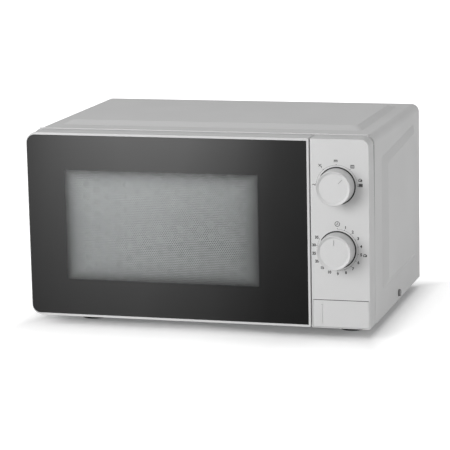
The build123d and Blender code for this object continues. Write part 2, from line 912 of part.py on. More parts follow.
def door_hook():
    """A bar with two barbed prongs and an ear for its spring."""
    high = hook_low + hook_spacing + hook_arm
    bar_y = (hook_y, hook_y + hook_bar)
    bar = block(span(hook_x, hook_bar_width), bar_y, (hook_low - barb_drop, high + barb_drop))
    for number in (0, 1):
        low = hook_low + number * hook_spacing
        points = [
            (hook_y + hook_bar / 2, low),
            (hook_tip_y - barb_length, low),
            (hook_tip_y - barb_length, low - barb_drop),
            (hook_tip_y - barb_drop / 2, low - barb_drop),
            (hook_tip_y, low - barb_drop / 2),
            (hook_tip_y, low + hook_arm / 2),
            (hook_tip_y - barb_length, low + hook_arm),
            (hook_y + hook_bar / 2, low + hook_arm),
        ]
        prong = Plane.YZ.offset(hook_x) * Polygon(*points, align=None)
        bar += extrude(prong, amount=hook_thickness / 2, both=True)
    ear_z = hook_spring_z() + hook_spring_length
    ear_x = (hook_x, hook_spring_x() + spring_radius + spring_wire)
    return bar + block(ear_x, (hook_y, hook_y + hook_bar), (ear_z, ear_z + peg))


def coil(radius, length):
    """A coil spring of square wire, standing on the XY plane."""
    turn = spring_wire / 2
    path = Helix(pitch=(length - spring_wire) / spring_turns, height=length - spring_wire, radius=radius)
    start = Plane(origin=path @ 0, z_dir=path % 0)
    return Pos(0, 0, turn) * sweep(start * Rectangle(spring_wire, spring_wire), path=path, is_frenet=True)


def hook_spring():
    """The tension spring that pulls the hook down."""
    place = Pos(hook_spring_x(), hook_y + hook_bar / 2, hook_spring_z())
    return place * coil(spring_radius, hook_spring_length)


# ---------------------------------------------------------------- latch board


def board_x():
    """The latch board's limits across the oven."""
    return (bay_left + board_left_margin, hook_x + hook_thickness / 2 + slot_side + 2 * board_wall)


def switch_places():
    """The low corner of each microswitch: two by the lower hook and one by the upper."""
    y = hook_tip_y + lever_bearing
    low = hook_low + hook_arm / 2 - switch_height() / 2
    x = board_x()[0] + board_wall
    beside = x + switch_width + fit
    return [(x, y, low), (beside, y, low), (beside, y, low + hook_spacing)]


def switch_height():
    """A switch's height, from its two fixing holes."""
    return switch_pin_pitch + 2 * switch_end


def latch_board():
    """The moulded board behind the front plate: hook ledges, switch pins and lever bearings."""
    x = board_x()
    y = (cavity_front, cavity_front + board_wall)
    z = (lever_z - 2 * lever_pad_rise, hook_low + hook_spacing + 3 * hook_arm)
    board = block(x, y, z) - hook_slots(grown(y, overcut))
    web_y = (y[0], y[0] + board_depth)
    board += block((x[0], x[0] + board_wall), web_y, (z[0] + 2 * board_wall, z[1]))
    for number in (0, 1):
        ledge_top = hook_low - barb_drop - barb_clear + number * hook_spacing
        step_y = (y[1] - overcut / 2, hook_tip_y - barb_length - barb_clear)
        step_x = grown(span(hook_x, hook_thickness), 2 * slot_side)
        board += block((x[0], step_x[1]), step_y, (ledge_top - ledge_height, ledge_top))
    for px, py, pz in switch_places():
        for side in (-1, 1):
            pin_z = pz + switch_height() / 2 + side * switch_pin_pitch / 2
            point = (x[0], py + switch_depth / 2, pin_z)
            board += rod(point, (1, 0, 0), switch_pin_radius, px + switch_width - x[0])
    foot_x = (x[0], lever_right() + 2 * lever_bearing)
    foot_z = (z[0], lever_z + lever_hub_radius + fit)
    board += block(foot_x, y, foot_z)
    for bearing_x in (lever_left() - fit - lever_bearing, lever_right() + fit):
        ear_x = (bearing_x, bearing_x + lever_bearing)
        board += block(ear_x, (y[0], lever_y + lever_hub_radius), (lever_z - lever_hub_radius, foot_z[1]))
    hole = rod((x[0], lever_y, lever_z), (1, 0, 0), lever_pin_radius + running / 2, bay_width)
    keep = block(grown((x[0], x[0] + board_wall), overcut), grown(web_y, overcut), grown(z, overcut))
    return board - (hole - keep)


def lever_left():
    """The lever's left end, just clear of the lower hook's side."""
    return hook_x - hook_thickness / 2 - 2 * fit


def lever_right():
    """The lever's right end, past the button's pusher."""
    return pusher_x + pusher_radius + lever_bearing


def open_lever():
    """A bell crank on a tube: the pusher swings one arm back and the other lifts the hook."""
    ends = (lever_left(), lever_right())
    start = (ends[0], lever_y, lever_z)
    tube = rod(start, (1, 0, 0), lever_hub_radius, ends[1] - ends[0])
    press_x = span(pusher_x, 2 * pusher_radius + lever_bearing)
    press_y = span(lever_y, lever_thickness)
    tube += block(press_x, press_y, (lever_z - lever_arm - pusher_radius - fit, lever_z))
    pad_x = span(hook_x, hook_thickness + 4 * fit)
    pad_y = (lever_y + lever_pad_reach, lever_y + lever_pad_reach + lever_pad)
    half = lever_thickness / 2
    tube += block(pad_x, (lever_y, pad_y[1]), (lever_z - half, lever_z + half))
    tube += block(pad_x, pad_y, (lever_z, lever_z + lever_pad_rise))
    return tube - rod(start, (1, 0, 0), lever_pin_radius + running, bay_width)


def lever_pin():
    """The steel pin that the lever turns on."""
    start = lever_left() - fit - lever_bearing
    length = lever_right() + fit + lever_bearing - start
    return rod((start, lever_y, lever_z), (1, 0, 0), lever_pin_radius, length)


def microswitches():
    """Three interlock switches, each with a plunger towards the hooks and three blades."""
    switches = []
    width, depth, height = switch_width, switch_depth, switch_height()
    for x, y, z in switch_places():
        shell = block((x, x + width), (y, y + depth), (z, z + height))
        shell = fillet(shell.edges().filter_by(Axis.X), edge_round)
        middle = (x + width / 2, y, z + height / 2)
        shell += rod(middle, (0, -1, 0), switch_pin_radius, switch_pin_radius)
        for step in (-1, 0, 1):
            blade_z = span(middle[2] + step * height / 3, blade_width)
            blade_y = (y + depth, y + depth + blade_length)
            shell += block(span(middle[0], blade_thickness), blade_y, blade_z)
        for side in (-1, 1):
            point = (x - overcut, y + depth / 2, middle[2] + side * switch_pin_pitch / 2)
            shell -= rod(point, (1, 0, 0), switch_pin_radius + running, 2 * width)
        switches.append(shell)
    return switches


# ---------------------------------------------------------------- control panel


def control_panel():
    """The moulded panel: hollow shell, shaft holes, button pocket and mounting posts."""
    x = (panel_left, right)
    shell = slab(x, (bottom, top), (front, cabinet_front - panel_gap), 0, 0, front_corner, right_corner)
    shell = fillet(shell.edges().group_by(Axis.Y)[0], edge_round)
    inner_x = grown(x, -panel_wall)
    inner_z = grown((bottom, top), -panel_wall)
    hollow_y = (front + panel_wall, cabinet_front + overcut)
    corner = front_corner - panel_wall
    shell -= slab(inner_x, inner_z, hollow_y, 0, 0, corner, 0)
    shell -= leaning_gap()
    back_y = (front + pocket_depth, front + pocket_depth + pocket_wall)
    shell += block(grown(x, -panel_wall / 2), (front + panel_wall / 2, back_y[1]), shelf_z())
    shell += block(grown(x, -panel_wall / 2), back_y, (bottom + panel_wall / 2, shelf_z()[1]))
    pocket_z = (bottom + button_rim, bottom + button_top + button_seam / 2)
    shell -= block(grown(x, -button_rim), (front - overcut, front + pocket_depth), pocket_z)
    shell -= rod((pusher_x, front, pusher_z), (0, 1, 0), pusher_radius + slide_clear, front_depth)
    shell -= rod((guide_x(), front, guide_pin_z()), (0, 1, 0), guide_radius + slide_clear, front_depth)
    for z in (timer_z, power_z):
        shell -= rod((knob_x, front - overcut, z), (0, 1, 0), shaft_hole_radius, front_depth / 2)
    post_length = timer_setback - panel_wall / 2
    for x_post, z_post in timer_posts():
        start = (x_post, front + panel_wall / 2, z_post)
        shell += rod(start, (0, 1, 0), post_radius, post_length)
    tab = 2 * panel_wall
    for z in (button_top + 5 * tab, body_height - button_top - 5 * tab):
        tab_z = span(bottom + z, 4 * tab)
        tab_y = (cabinet_front - 4 * tab, cabinet_front)
        shell += block((inner_x[1] - tab / 2, inner_x[1] + panel_wall / 4), tab_y, tab_z)
        shell += block((inner_x[0] - panel_wall / 4, inner_x[0] + tab / 2), tab_y, tab_z)
    return shell


def leaning_gap():
    """The wedge by which the gap behind the panel's free side widens upwards."""
    back = cabinet_front - panel_gap
    wedge = Polygon(
        (back, top - panel_lean_height),
        (cabinet_front, top - panel_lean_height),
        (cabinet_front, top + overcut),
        (back - panel_lean, top + overcut),
        align=None,
    )
    return Pos(right - front_corner, 0, 0) * extrude(Plane.YZ * wedge, front_corner + overcut)


def shelf_z():
    """The shelf over the button's pocket."""
    low = bottom + button_top + button_seam / 2
    return (low, low + pocket_wall)


def guide_x():
    """The button's second guide, near the panel's right edge."""
    return right - guide_inset


def guide_pin_z():
    """The height of the button's second guide."""
    return bottom + guide_height


def timer_posts():
    """The posts that carry the timer's mounting plate."""
    inset = 2 * post_radius
    x = span(knob_x, timer_plate_width - inset)
    z = (timer_z - timer_plate_margin + post_radius, power_z + timer_plate_margin - post_radius)
    return [(px, pz) for px in x for pz in z]


def open_button():
    """The door button: a skirted cap with a pusher, a guide and a thin raised line."""
    x = grown((panel_left, right), -button_rim - fit)
    z = (bottom + button_rim + fit, bottom + button_top - button_seam / 2)
    cap = block(x, (front, front + button_skirt), z)
    cap = fillet(cap.edges().group_by(Axis.Y)[0], edge_round / 2)
    inner_x, inner_z = grown(x, -button_wall), grown(z, -button_wall)
    cap -= block(inner_x, (front + button_face, front + button_skirt + overcut), inner_z)
    nose = lever_y - lever_thickness / 2 - fit - pusher_radius
    start = front + button_face / 2
    cap += rod((pusher_x, start, pusher_z), (0, 1, 0), pusher_radius, nose - start)
    cap += Pos(pusher_x, nose, pusher_z) * Sphere(pusher_radius)
    cap += rod((guide_x(), start, guide_pin_z()), (0, 1, 0), guide_radius, guide_length)
    line_x = span(panel_left + button_line_inset, button_line_width)
    line_z = (bottom + button_line_margin, bottom + button_top - button_line_margin - button_seam)
    return cap + block(line_x, (front - button_line_rise, front + button_face / 2), line_z)


def button_spring():
    """The spring that pushes the button out again."""
    start = front + button_face
    spring = coil(button_spring_radius, pocket_depth - button_face)
    middle = ((pusher_x + guide_x()) / 2, start, bottom + button_top / 2)
    return Plane(origin=middle, z_dir=(0, 1, 0)).location * spring


def knob(height, turn):
    """A hollow knob with a bevelled, dished face and one radial line, at its rest angle."""
    back = front - knob_gap
    face = front - knob_proud
    inner_face = face + knob_dish + knob_wall
    profile = Polygon(
        (shaft_radius + running / 2, inner_face),
        (0, inner_face),
        (0, face + knob_dish),
        (knob_radius - knob_draft - knob_bevel, face + knob_dish),
        (knob_radius - 2 * knob_draft, face),
        (knob_radius - knob_draft, face + knob_draft),
        (knob_radius, back),
        (knob_radius - knob_wall, back),
        (knob_radius - knob_wall - knob_draft, inner_face),
        (knob_hub_radius, inner_face),
        (knob_hub_radius, back),
        (shaft_radius + running / 2, back),
        align=None,
    )
    body = revolve(Plane.XY * profile, axis=Axis.Y)
    mark_z = (mark_start, mark_start + mark_length)
    body -= block(span(0, mark_width), (face, face + knob_dish + mark_depth), mark_z)
    return Pos(knob_x, 0, height) * (Rot(0, turn, 0) * body)


def shaft(height):
    """A knob's shaft, from inside the knob to its bearing in the timer."""
    start = front - knob_proud + knob_dish + knob_wall
    return rod((knob_x, start, height), (0, 1, 0), shaft_radius, timer_face + shaft_grip - start)


def timer_mount():
    """The steel plate that the timer and the power selector are fixed to."""
    x = span(knob_x, timer_plate_width)
    z = (timer_z - timer_plate_margin, power_z + timer_plate_margin)
    y = (front + timer_setback, timer_face)
    plate = slab(x, z, y, *[post_radius] * 4)
    for height in (timer_z, power_z):
        plate -= rod((knob_x, y[0] - overcut, height), (0, 1, 0), shaft_radius + 2 * fit, 4 * timer_plate)
    return plate


def bearing_body(size, height):
    """A housing behind the mounting plate, with a blind bearing for its shaft."""
    width, depth, tall = size
    body = block(span(knob_x, width), (timer_face, timer_face + depth), span(height, tall))
    body = fillet(body.edges().filter_by(Axis.Y), post_radius)
    start = (knob_x, timer_face - overcut, height)
    return body - rod(start, (0, 1, 0), shaft_radius + running, overcut + shaft_grip + fit)


def timer_bell():
    """The domed bell on the back of the timer."""
    base = timer_face + timer_size[1]
    dome = Pos(knob_x, base, timer_z) * Sphere(bell_radius)
    dome -= Pos(knob_x, base, timer_z) * Sphere(bell_radius - bell_wall)
    dome &= block(span(knob_x, 2 * bell_radius), (base, base + bell_radius), span(timer_z, 2 * bell_radius))
    return dome + rod((knob_x, base, timer_z), (0, 1, 0), shaft_radius, bell_radius - bell_wall / 2)


# ---------------------------------------------------------------- turntable


def upright(profile):
    """A body turned about the turntable's axis from a profile in radius and height."""
    return Pos(cavity_mid_x, cavity_mid_y, 0) * revolve(Plane.XZ * profile, axis=Axis.Z)


def glass_tray():
    """The glass tray: a disc with an upswept rim, a foot ring and three drive lugs."""
    low, high = tray_z, tray_z + tray_thickness
    profile = Polygon(
        (0, low),
        (tray_radius - 3 * tray_thickness, low),
        (tray_radius, low + tray_rim),
        (tray_radius, low + tray_rim + tray_thickness / 2),
        (tray_radius - tray_thickness / 2, low + tray_rim + tray_thickness / 2),
        (tray_radius - 4 * tray_thickness, high),
        (0, high),
        align=None,
    )
    tray = upright(profile)
    for number in range(3):
        lug = block((coupler_radius * 0.55, coupler_radius), span(0, tray_lug), (low - tray_lug, low))
        tray += Pos(cavity_mid_x, cavity_mid_y, 0) * (Rot(0, 0, 120 * number + 60) * lug)
    return tray


def drive_coupler():
    """The three-lobed coupler on the turntable shaft."""
    high = tray_z - fit
    hub_low = track_z - steel - fit
    hub = rod((0, 0, hub_low), (0, 0, 1), coupler_hub_radius, high - hub_low)
    half = coupler_lobe_width / 2
    reach = coupler_radius - half
    for number in range(3):
        lobe = block((0, reach), (-half, half), (high - coupler_lobe, high))
        lobe += rod((reach, 0, high - coupler_lobe), (0, 0, 1), half, coupler_lobe)
        hub += Rot(0, 0, 120 * number) * lobe
    bore_radius = turntable_shaft_radius + running / 2
    bore = rod((0, 0, hub_low - overcut), (0, 0, 1), bore_radius, shaft_rise() + overcut)
    return Pos(cavity_mid_x, cavity_mid_y, 0) * (hub - bore)


def shaft_rise():
    """How far the turntable shaft reaches up into the coupler."""
    return roller_radius + dish_depth + steel


def motor_shaft():
    """The turntable motor's shaft."""
    start = motor_top() - motor_height / 2
    end = track_z - steel - fit + shaft_rise() - fit
    return rod((cavity_mid_x, cavity_mid_y, start), (0, 0, 1), turntable_shaft_radius, end - start)


def motor_top():
    """The turntable motor's upper face, against the underside of the dished floor."""
    return track_z - steel


def turntable_motor():
    """A flat synchronous motor with two fixing ears, under the cavity's floor."""
    centre = (cavity_mid_x, cavity_mid_y, motor_top())
    body = rod(centre, (0, 0, -1), motor_radius, motor_height)
    rim_edges = body.edges().filter_by(GeomType.CIRCLE).group_by(Axis.Z)[0]
    body = fillet(rim_edges, edge_round)
    ears = SlotOverall(2 * motor_ear, 2 * motor_radius / 3)
    body += extrude(Pos(*centre) * ears, amount=-steel)
    recess = 2 * motor_height / 3
    body -= rod(centre, (0, 0, -1), turntable_shaft_radius + running, recess)
    return body - rod(centre, (0, 0, -1), coupler_hub_radius + fit, 2 * fit)


def roller_ring():
    """The plastic ring that carries three rollers on radial stub axles."""
    profile = Pos(ring_radius, roller_z) * Rectangle(ring_width, ring_height)
    ring = upright(profile)
    inner = ring_radius + ring_width / 2 - overcut
    outer = track_radius + roller_width / 2 + fit
    for number in range(3):
        angle = math.radians(120 * number + 90)
        way = (math.cos(angle), math.sin(angle), 0)
        start = (cavity_mid_x + inner * way[0], cavity_mid_y + inner * way[1], roller_z)
        tip = (cavity_mid_x + outer * way[0], cavity_mid_y + outer * way[1], roller_z)
        ring += rod(start, way, axle_radius, outer - inner)
        ring += rod(tip, way, axle_radius + 1, 1.5)
    return ring


def roller(number):
    """One roller on its stub axle."""
    angle = math.radians(120 * number + 90)
    way = (math.cos(angle), math.sin(angle), 0)
    inner = track_radius - roller_width / 2
    start = (cavity_mid_x + inner * way[0], cavity_mid_y + inner * way[1], roller_z)
    wheel = rod(start, way, roller_radius, roller_width)
    wheel = fillet(wheel.edges().filter_by(GeomType.CIRCLE), edge_round)
    return wheel - rod(start, way, axle_radius + running, roller_width)


# ---------------------------------------------------------------- microwave source


def magnetron_x():
    """The magnetron yoke's limits across the bay."""
    start = bay_left + guide_depth
    return (start, start + magnetron_size[0])


def magnetron_yoke():
    """The steel yoke, open to the cooling air at front and back."""
    y = span(magnetron_y, magnetron_size[1])
    z = span(magnetron_z, magnetron_size[2])
    x = magnetron_x()
    frame = block(x, y, z) - block(grown(x, -yoke_wall), grown(y, overcut), grown(z, -yoke_wall))
    hole = rod((x[0] - overcut, magnetron_y, magnetron_z), (1, 0, 0), antenna_radius + 2 * fit, 4 * yoke_wall)
    return frame - hole


def magnetron_core():
    """The anode with its antenna, ring magnets and stack of cooling fins."""
    x = magnetron_x()
    start = x[0] + yoke_wall
    axis_point = (start, magnetron_y, magnetron_z)
    inside = magnetron_size[0] - 2 * yoke_wall
    core = rod(axis_point, (1, 0, 0), anode_radius, inside)
    core += rod(axis_point, (1, 0, 0), magnet_radius, magnet_height)
    end = (start + inside, magnetron_y, magnetron_z)
    core += rod(end, (-1, 0, 0), magnet_radius, magnet_height)
    root = (start + overcut, magnetron_y, magnetron_z)
    core += rod(root, (-1, 0, 0), antenna_radius, antenna_reach + overcut)
    room = inside - 2 * magnet_height
    for number in range(fin_count):
        fin_x = start + magnet_height + room * (number + 0.5) / fin_count
        side = magnetron_size[1] - 2 * yoke_wall
        tall = magnetron_size[2] - 2 * yoke_wall - 2 * fit
        core += block(span(fin_x, fin_thickness), span(magnetron_y, side), span(magnetron_z, tall))
    return core


def magnetron_filter_box():
    """The magnetron's filter box with its two-blade connector."""
    x = magnetron_x()[1]
    width, depth, tall = filter_size
    box = block((x, x + width), span(magnetron_y, depth), span(magnetron_z, tall))
    box = fillet(box.edges().filter_by(Axis.X), 2)
    low = magnetron_z - tall / 2
    for side in (-1, 1):
        blade_y = span(magnetron_y + side * 2 * blade_width, blade_thickness)
        box += block(span(x + width / 2, blade_width), blade_y, (low - blade_length, low))
    return box


# ---------------------------------------------------------------- supply, fan and small parts


def transformer_place():
    """The middle of the transformer's foot, on the base."""
    return (bay_mid_x, cabinet_front + transformer_setback, base_top)


def transformer_core():
    """The laminated core with two windows, on its foot plate."""
    x, y, z = transformer_place()
    width, depth, tall = core_size
    foot_x, foot_y, foot = core_foot
    core_z = (z + foot, z + foot + tall)
    core = block(span(x, width), span(y, depth), core_z)
    window_wide = (width - core_leg) / 2 - core_yoke
    for side in (-1, 1):
        middle = x + side * (core_leg + window_wide) / 2
        core -= block(span(middle, window_wide), span(y, 2 * depth), grown(core_z, -core_yoke))
    core += block(span(x, foot_x), span(y, foot_y), (z, z + foot))
    return core


def transformer_windings():
    """The primary and secondary coils round the core's middle leg."""
    x, y, z = transformer_place()
    low = z + core_foot[2] + core_yoke + fit
    coils = []
    for start, tall in ((low, primary_height), (low + primary_height + 2 * fit, secondary_height)):
        inner = Rectangle(core_leg + 2 * fit, core_size[1] + 2 * fit)
        outer = RectangleRounded(core_leg + 2 * coil_build, core_size[1] + 2 * coil_build, coil_build)
        coils.append(extrude(Pos(x, y, start) * (outer - inner), amount=tall))
    return coils


def can_place():
    """The middle of the capacitor, lying on the base."""
    return (bay_mid_x, cabinet_front + can_setback, base_top + can_size[2] / 2)


def oval(growth):
    """The capacitor's flat oval section, grown outwards, seen from its end."""
    return SlotOverall(can_size[1] + 2 * growth, can_size[2] + 2 * growth)


def capacitor():
    """The oval capacitor can with two terminals at its left end."""
    x, y, z = can_place()
    start = x - can_size[0] / 2
    place = Plane(origin=(start, y, z), x_dir=(0, 1, 0), z_dir=(1, 0, 0))
    can = extrude(place * oval(0), amount=can_size[0])
    for side in (-1, 1):
        can += rod((start, y + side * can_size[2] / 3, z), (-1, 0, 0), terminal_radius, terminal_length)
    return can


def capacitor_clamp():
    """The strap over the capacitor, with an ear on the base at each side."""
    x, y, z = can_place()
    place = Plane(origin=(x - clamp_width / 2, y, z), x_dir=(0, 1, 0), z_dir=(1, 0, 0))
    strap = extrude(place * (oval(clamp_thickness + running) - oval(running)), amount=clamp_width)
    strap &= block(span(x, clamp_width), span(y, 2 * can_size[1]), (base_top, z + can_size[2]))
    half = can_size[1] / 2 + clamp_thickness
    for side in (-1, 1):
        ear_y = sorted((y + side * (half - clamp_thickness), y + side * (half + clamp_ear)))
        post_y = sorted((y + side * (half - clamp_thickness + running), y + side * half))
        strap += block(span(x, clamp_width), ear_y, (base_top, base_top + clamp_thickness))
        strap += block(span(x, clamp_width), post_y, (base_top, z))
    return strap


def hv_diode():
    """The high-voltage diode, resting on the clamp's ear."""
    x, y, z = can_place()
    ear_y = y + can_size[1] / 2 + clamp_thickness + clamp_ear / 2
    start = (x - diode_length / 2, ear_y, base_top + clamp_thickness + diode_radius)
    return rod(start, (1, 0, 0), diode_radius, diode_length)


def fan_shroud():
    """The fan's mounting plate, ring and three-armed spider for the motor."""
    ring_inner = fan_radius + fan_tip_gap
    ring_outer = ring_inner + fan_ring_wall
    centre = (bay_mid_x, rear_inside, fan_z)
    shape = rod(centre, (0, -1, 0), ring_outer, fan_ring_depth)
    plate_y = (rear_inside - fan_ring_wall, rear_inside)
    shape += slab(span(bay_mid_x, 2 * ring_outer), span(fan_z, 2 * ring_outer), plate_y, *[front_corner] * 4)
    start = (bay_mid_x, rear_inside + overcut, fan_z)
    shape -= rod(start, (0, -1, 0), ring_inner, fan_ring_depth + 2 * overcut)
    spider_y = rear_inside - fan_ring_depth
    hub = rod((bay_mid_x, spider_y, fan_z), (0, 1, 0), spider_hub_radius, spider_thickness)
    for number in range(3):
        arm = block(span(0, spider_arm), (0, spider_thickness), (0, ring_inner + fan_ring_wall / 2))
        hub += Pos(bay_mid_x, spider_y, fan_z) * (Rot(0, 120 * number, 0) * arm)
    bore = rod((bay_mid_x, spider_y - overcut, fan_z), (0, 1, 0), fan_shaft_radius + 2 * fit, 2 * spider_arm)
    return shape + hub - bore


def fan_blade():
    """The axial fan: a cupped hub with twisted blades."""
    depth = fan_width
    y = rear_inside - fan_setback - depth
    hub = rod((0, 0, 0), (0, 1, 0), fan_hub_radius, depth)
    hub = fillet(hub.edges().filter_by(GeomType.CIRCLE).group_by(Axis.Y)[-1], edge_round)
    bore = rod((0, -overcut, 0), (0, 1, 0), fan_shaft_radius + running / 2, depth)
    chord_in = depth / math.sin(math.radians(2 * fan_pitch)) * 0.75
    chord_out = depth / math.sin(math.radians(fan_pitch)) * 0.85
    for number in range(fan_blades):
        faces = []
        for radius, chord, pitch in (
            (fan_hub_radius - 2, chord_in, 2 * fan_pitch),
            (fan_radius, chord_out, fan_pitch),
        ):
            place = Plane(origin=(0, depth / 2, radius), x_dir=(1, 0, 0), z_dir=(0, 0, 1))
            faces.append((place * (Rot(0, 0, pitch) * Rectangle(chord, fan_blade_thickness))).face())
        hub += Rot(0, 360 / fan_blades * number, 0) * loft(faces, ruled=True)
    return Pos(bay_mid_x, y, fan_z) * (hub - bore)


def fan_motor():
    """The shaded-pole motor: a laminated stack, its coil and two bearing bridges."""
    width, depth, tall = fan_motor_size
    back = rear_inside - fan_ring_depth
    stack_y = (back - fan_bridge - depth, back - fan_bridge)
    bore_radius = spider_hub_radius
    stack = block(span(bay_mid_x, width), stack_y, (fan_z - tall * 0.9, fan_z + tall / 2))
    stack -= rod((bay_mid_x, stack_y[0] - overcut, fan_z), (0, 1, 0), bore_radius, 2 * depth)
    window_z = (fan_z - tall * 0.7, fan_z - bore_radius - 2)
    stack -= block(span(bay_mid_x, width - 2 * spider_arm), grown(stack_y, overcut), window_z)
    coil_y = grown(stack_y, fan_bridge - overcut)
    stack += block(span(bay_mid_x, fan_coil), coil_y, (fan_z - tall, fan_z - bore_radius - 3))
    for y in ((stack_y[1], back), (stack_y[0] - fan_bridge, stack_y[0])):
        stack += block(span(bay_mid_x, width * 0.8), y, span(fan_z, spider_arm * 2))
    stack += rod((bay_mid_x, stack_y[0], fan_z), (0, 1, 0), bore_radius - 2, depth)
    shaft_hole = fan_shaft_radius + running
    return stack - rod((bay_mid_x, stack_y[0] - 2 * fan_bridge, fan_z), (0, 1, 0), shaft_hole, 3 * depth)


def fan_shaft():
    """The fan motor's shaft."""
    start = rear_inside - fan_ring_depth - fan_bridge - fan_motor_size[1]
    end = rear_inside - fan_setback - fan_width / 2
    return rod((bay_mid_x, start, fan_z), (0, 1, 0), fan_shaft_radius, end - start)


def lamp_place():
    """Where the lamp's axis leaves the cavity's wall."""
    return (bay_left, cabinet_front + lamp_setback, bottom + lamp_height)


def oven_lamp():
    """The oven lamp: a small round-nosed bulb that points at the vent holes."""
    x, y, z = lamp_place()
    tip = x + bulb_gap
    body = rod((tip + bulb_radius, y, z), (1, 0, 0), bulb_radius, bulb_length - bulb_radius)
    return body + Pos(tip + bulb_radius, y, z) * Sphere(bulb_radius)


def lamp_socket():
    """The lamp's socket on a strap from the cavity's wall."""
    x, y, z = lamp_place()
    start = x + bulb_gap + bulb_length
    socket = rod((start, y, z), (1, 0, 0), socket_radius, socket_length)
    strap_z = (z + socket_radius - lamp_strap, z + socket_radius)
    socket += block((x, start + socket_length), span(y, socket_radius), strap_z)
    foot_z = (strap_z[1] - socket_radius, strap_z[1] + socket_radius / 2)
    foot_y = (y + bulb_radius + 1, y + 2 * bulb_radius)
    socket += block((x, x + lamp_strap), (y - socket_radius / 2, foot_y[1]), strap_z)
    return socket + block((x, x + lamp_strap), foot_y, foot_z)


def filter_board():
    """The mains filter board on four legs over the cavity, with a choke and two capacitors."""
    width, depth, thick = board_size
    roof = cavity_z[1] + steel
    x = span(cavity_x[1] - width, width)
    y = span(cavity_y[1] - depth, depth)
    level = roof + board_leg
    board = block(x, y, (level, level + thick))
    for px in grown(x, -board_leg_inset):
        for py in grown(y, -board_leg_inset):
            board += rod((px, py, roof), (0, 0, 1), board_leg_radius, board_leg)
    up = (level + thick, level + thick + board_part)
    board += rod((x[0] + width / 4, sum(y) / 2, up[0]), (0, 0, 1), choke_ring_radius, board_part)
    for share in (0.55, 0.8):
        board += block(span(x[0] + width * share, film_can[0]), span(sum(y) / 2, film_can[1]), up)
    return board


def thermal_cutouts():
    """Two thermal cut-outs: one on the magnetron's yoke, one on the cavity's roof."""
    yoke_top = magnetron_z + magnetron_size[2] / 2
    places = [(sum(magnetron_x()) / 2, magnetron_y, yoke_top)]
    places.append((cavity_x[1] - 4 * cutout_radius, cavity_mid_y, cavity_z[1] + steel))
    discs = []
    for place in places:
        disc = rod(place, (0, 0, 1), cutout_radius, cutout_height)
        for side in (-1, 1):
            blade_y = span(place[1] + side * cutout_radius / 2, blade_width)
            blade_x = (place[0], place[0] + cutout_radius + blade_length)
            disc += block(blade_x, blade_y, span(place[2] + cutout_height - 1, blade_thickness))
        discs.append(disc)
    return discs


nodes = {
    "outer_cabinet": outer_cabinet(),
    "base_plate": base_plate(),
    "rear_panel": rear_panel(),
    "feet": feet(),
    "side_screws": side_screws(),
    "rear_screws": rear_screws(),
    "cord_inlet": cord_inlet(),
    "front_plate": front_plate(),
    "cavity": cavity(),
    "waveguide": waveguide(),
    "waveguide_cover": waveguide_cover(),
    "upper_hinge_bracket": hinge_bracket(),
    "lower_hinge_bracket": mirror(hinge_bracket(), about=Plane.XY.offset(middle_z)),
    "hinge_pins": [hinge_pin(), mirror(hinge_pin(), about=Plane.XY.offset(middle_z))],
    "door_frame": door_frame(),
    "door_glass": door_glass(),
    "door_panel": door_panel(),
    "choke_cover": choke_cover(),
    "inner_window": inner_window(),
    "door_hook": door_hook(),
    "hook_spring": hook_spring(),
    "latch_board": latch_board(),
    "microswitches": microswitches(),
    "open_lever": open_lever(),
    "lever_pin": lever_pin(),
    "control_panel": control_panel(),
    "open_button": open_button(),
    "button_spring": button_spring(),
    "power_knob": knob(power_z, 45),
    "timer_knob": knob(timer_z, 0),
    "power_shaft": shaft(power_z),
    "timer_shaft": shaft(timer_z),
    "timer_plate": timer_mount(),
    "timer_unit": bearing_body(timer_size, timer_z),
    "power_selector": bearing_body(selector_size, power_z),
    "timer_bell": timer_bell(),
    "glass_tray": glass_tray(),
    "roller_ring": roller_ring(),
    "roller_rear": roller(0),
    "roller_left": roller(1),
    "roller_right": roller(2),
    "drive_coupler": drive_coupler(),
    "motor_shaft": motor_shaft(),
    "turntable_motor": turntable_motor(),
    "magnetron_yoke": magnetron_yoke(),
    "magnetron_core": magnetron_core(),
    "magnetron_filter_box": magnetron_filter_box(),
    "transformer_core": transformer_core(),
    "transformer_windings": transformer_windings(),
    "capacitor": capacitor(),
    "capacitor_clamp": capacitor_clamp(),
    "hv_diode": hv_diode(),
    "fan_shroud": fan_shroud(),
    "fan_blade": fan_blade(),
    "fan_motor": fan_motor(),
    "fan_shaft": fan_shaft(),
    "oven_lamp": oven_lamp(),
    "lamp_socket": lamp_socket(),
    "filter_board": filter_board(),
    "thermal_cutouts": thermal_cutouts(),
}

for name, shape in nodes.items():
    solids = shape if isinstance(shape, list) else [shape]
    body = Compound(children=solids) if len(solids) > 1 else solids[0]
    body.label = name
    export_step(body, f"parts/{name}.step")

print("hinge axis", hinge_x, hinge_y, middle_z)
print("hook", hook_x, hook_y, hook_spring_z(), "button spring end", front + pocket_depth)
print("lever axis", lever_y, lever_z, math.degrees(math.asin(button_travel / lever_arm)))
print("knobs", knob_x, front, power_z, timer_z)
print("turntable", cavity_mid_x, cavity_mid_y, tray_z, roller_z, track_radius / (2 * roller_radius))
print("fan", bay_mid_x, fan_z, "cavity", cavity_x, cavity_y, cavity_z)
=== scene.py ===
"""A counter-top microwave oven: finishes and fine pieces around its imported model."""

import math

import bmesh
import bpy
from bpy.props import FloatProperty, FloatVectorProperty, PointerProperty
from mathutils import Matrix, Vector


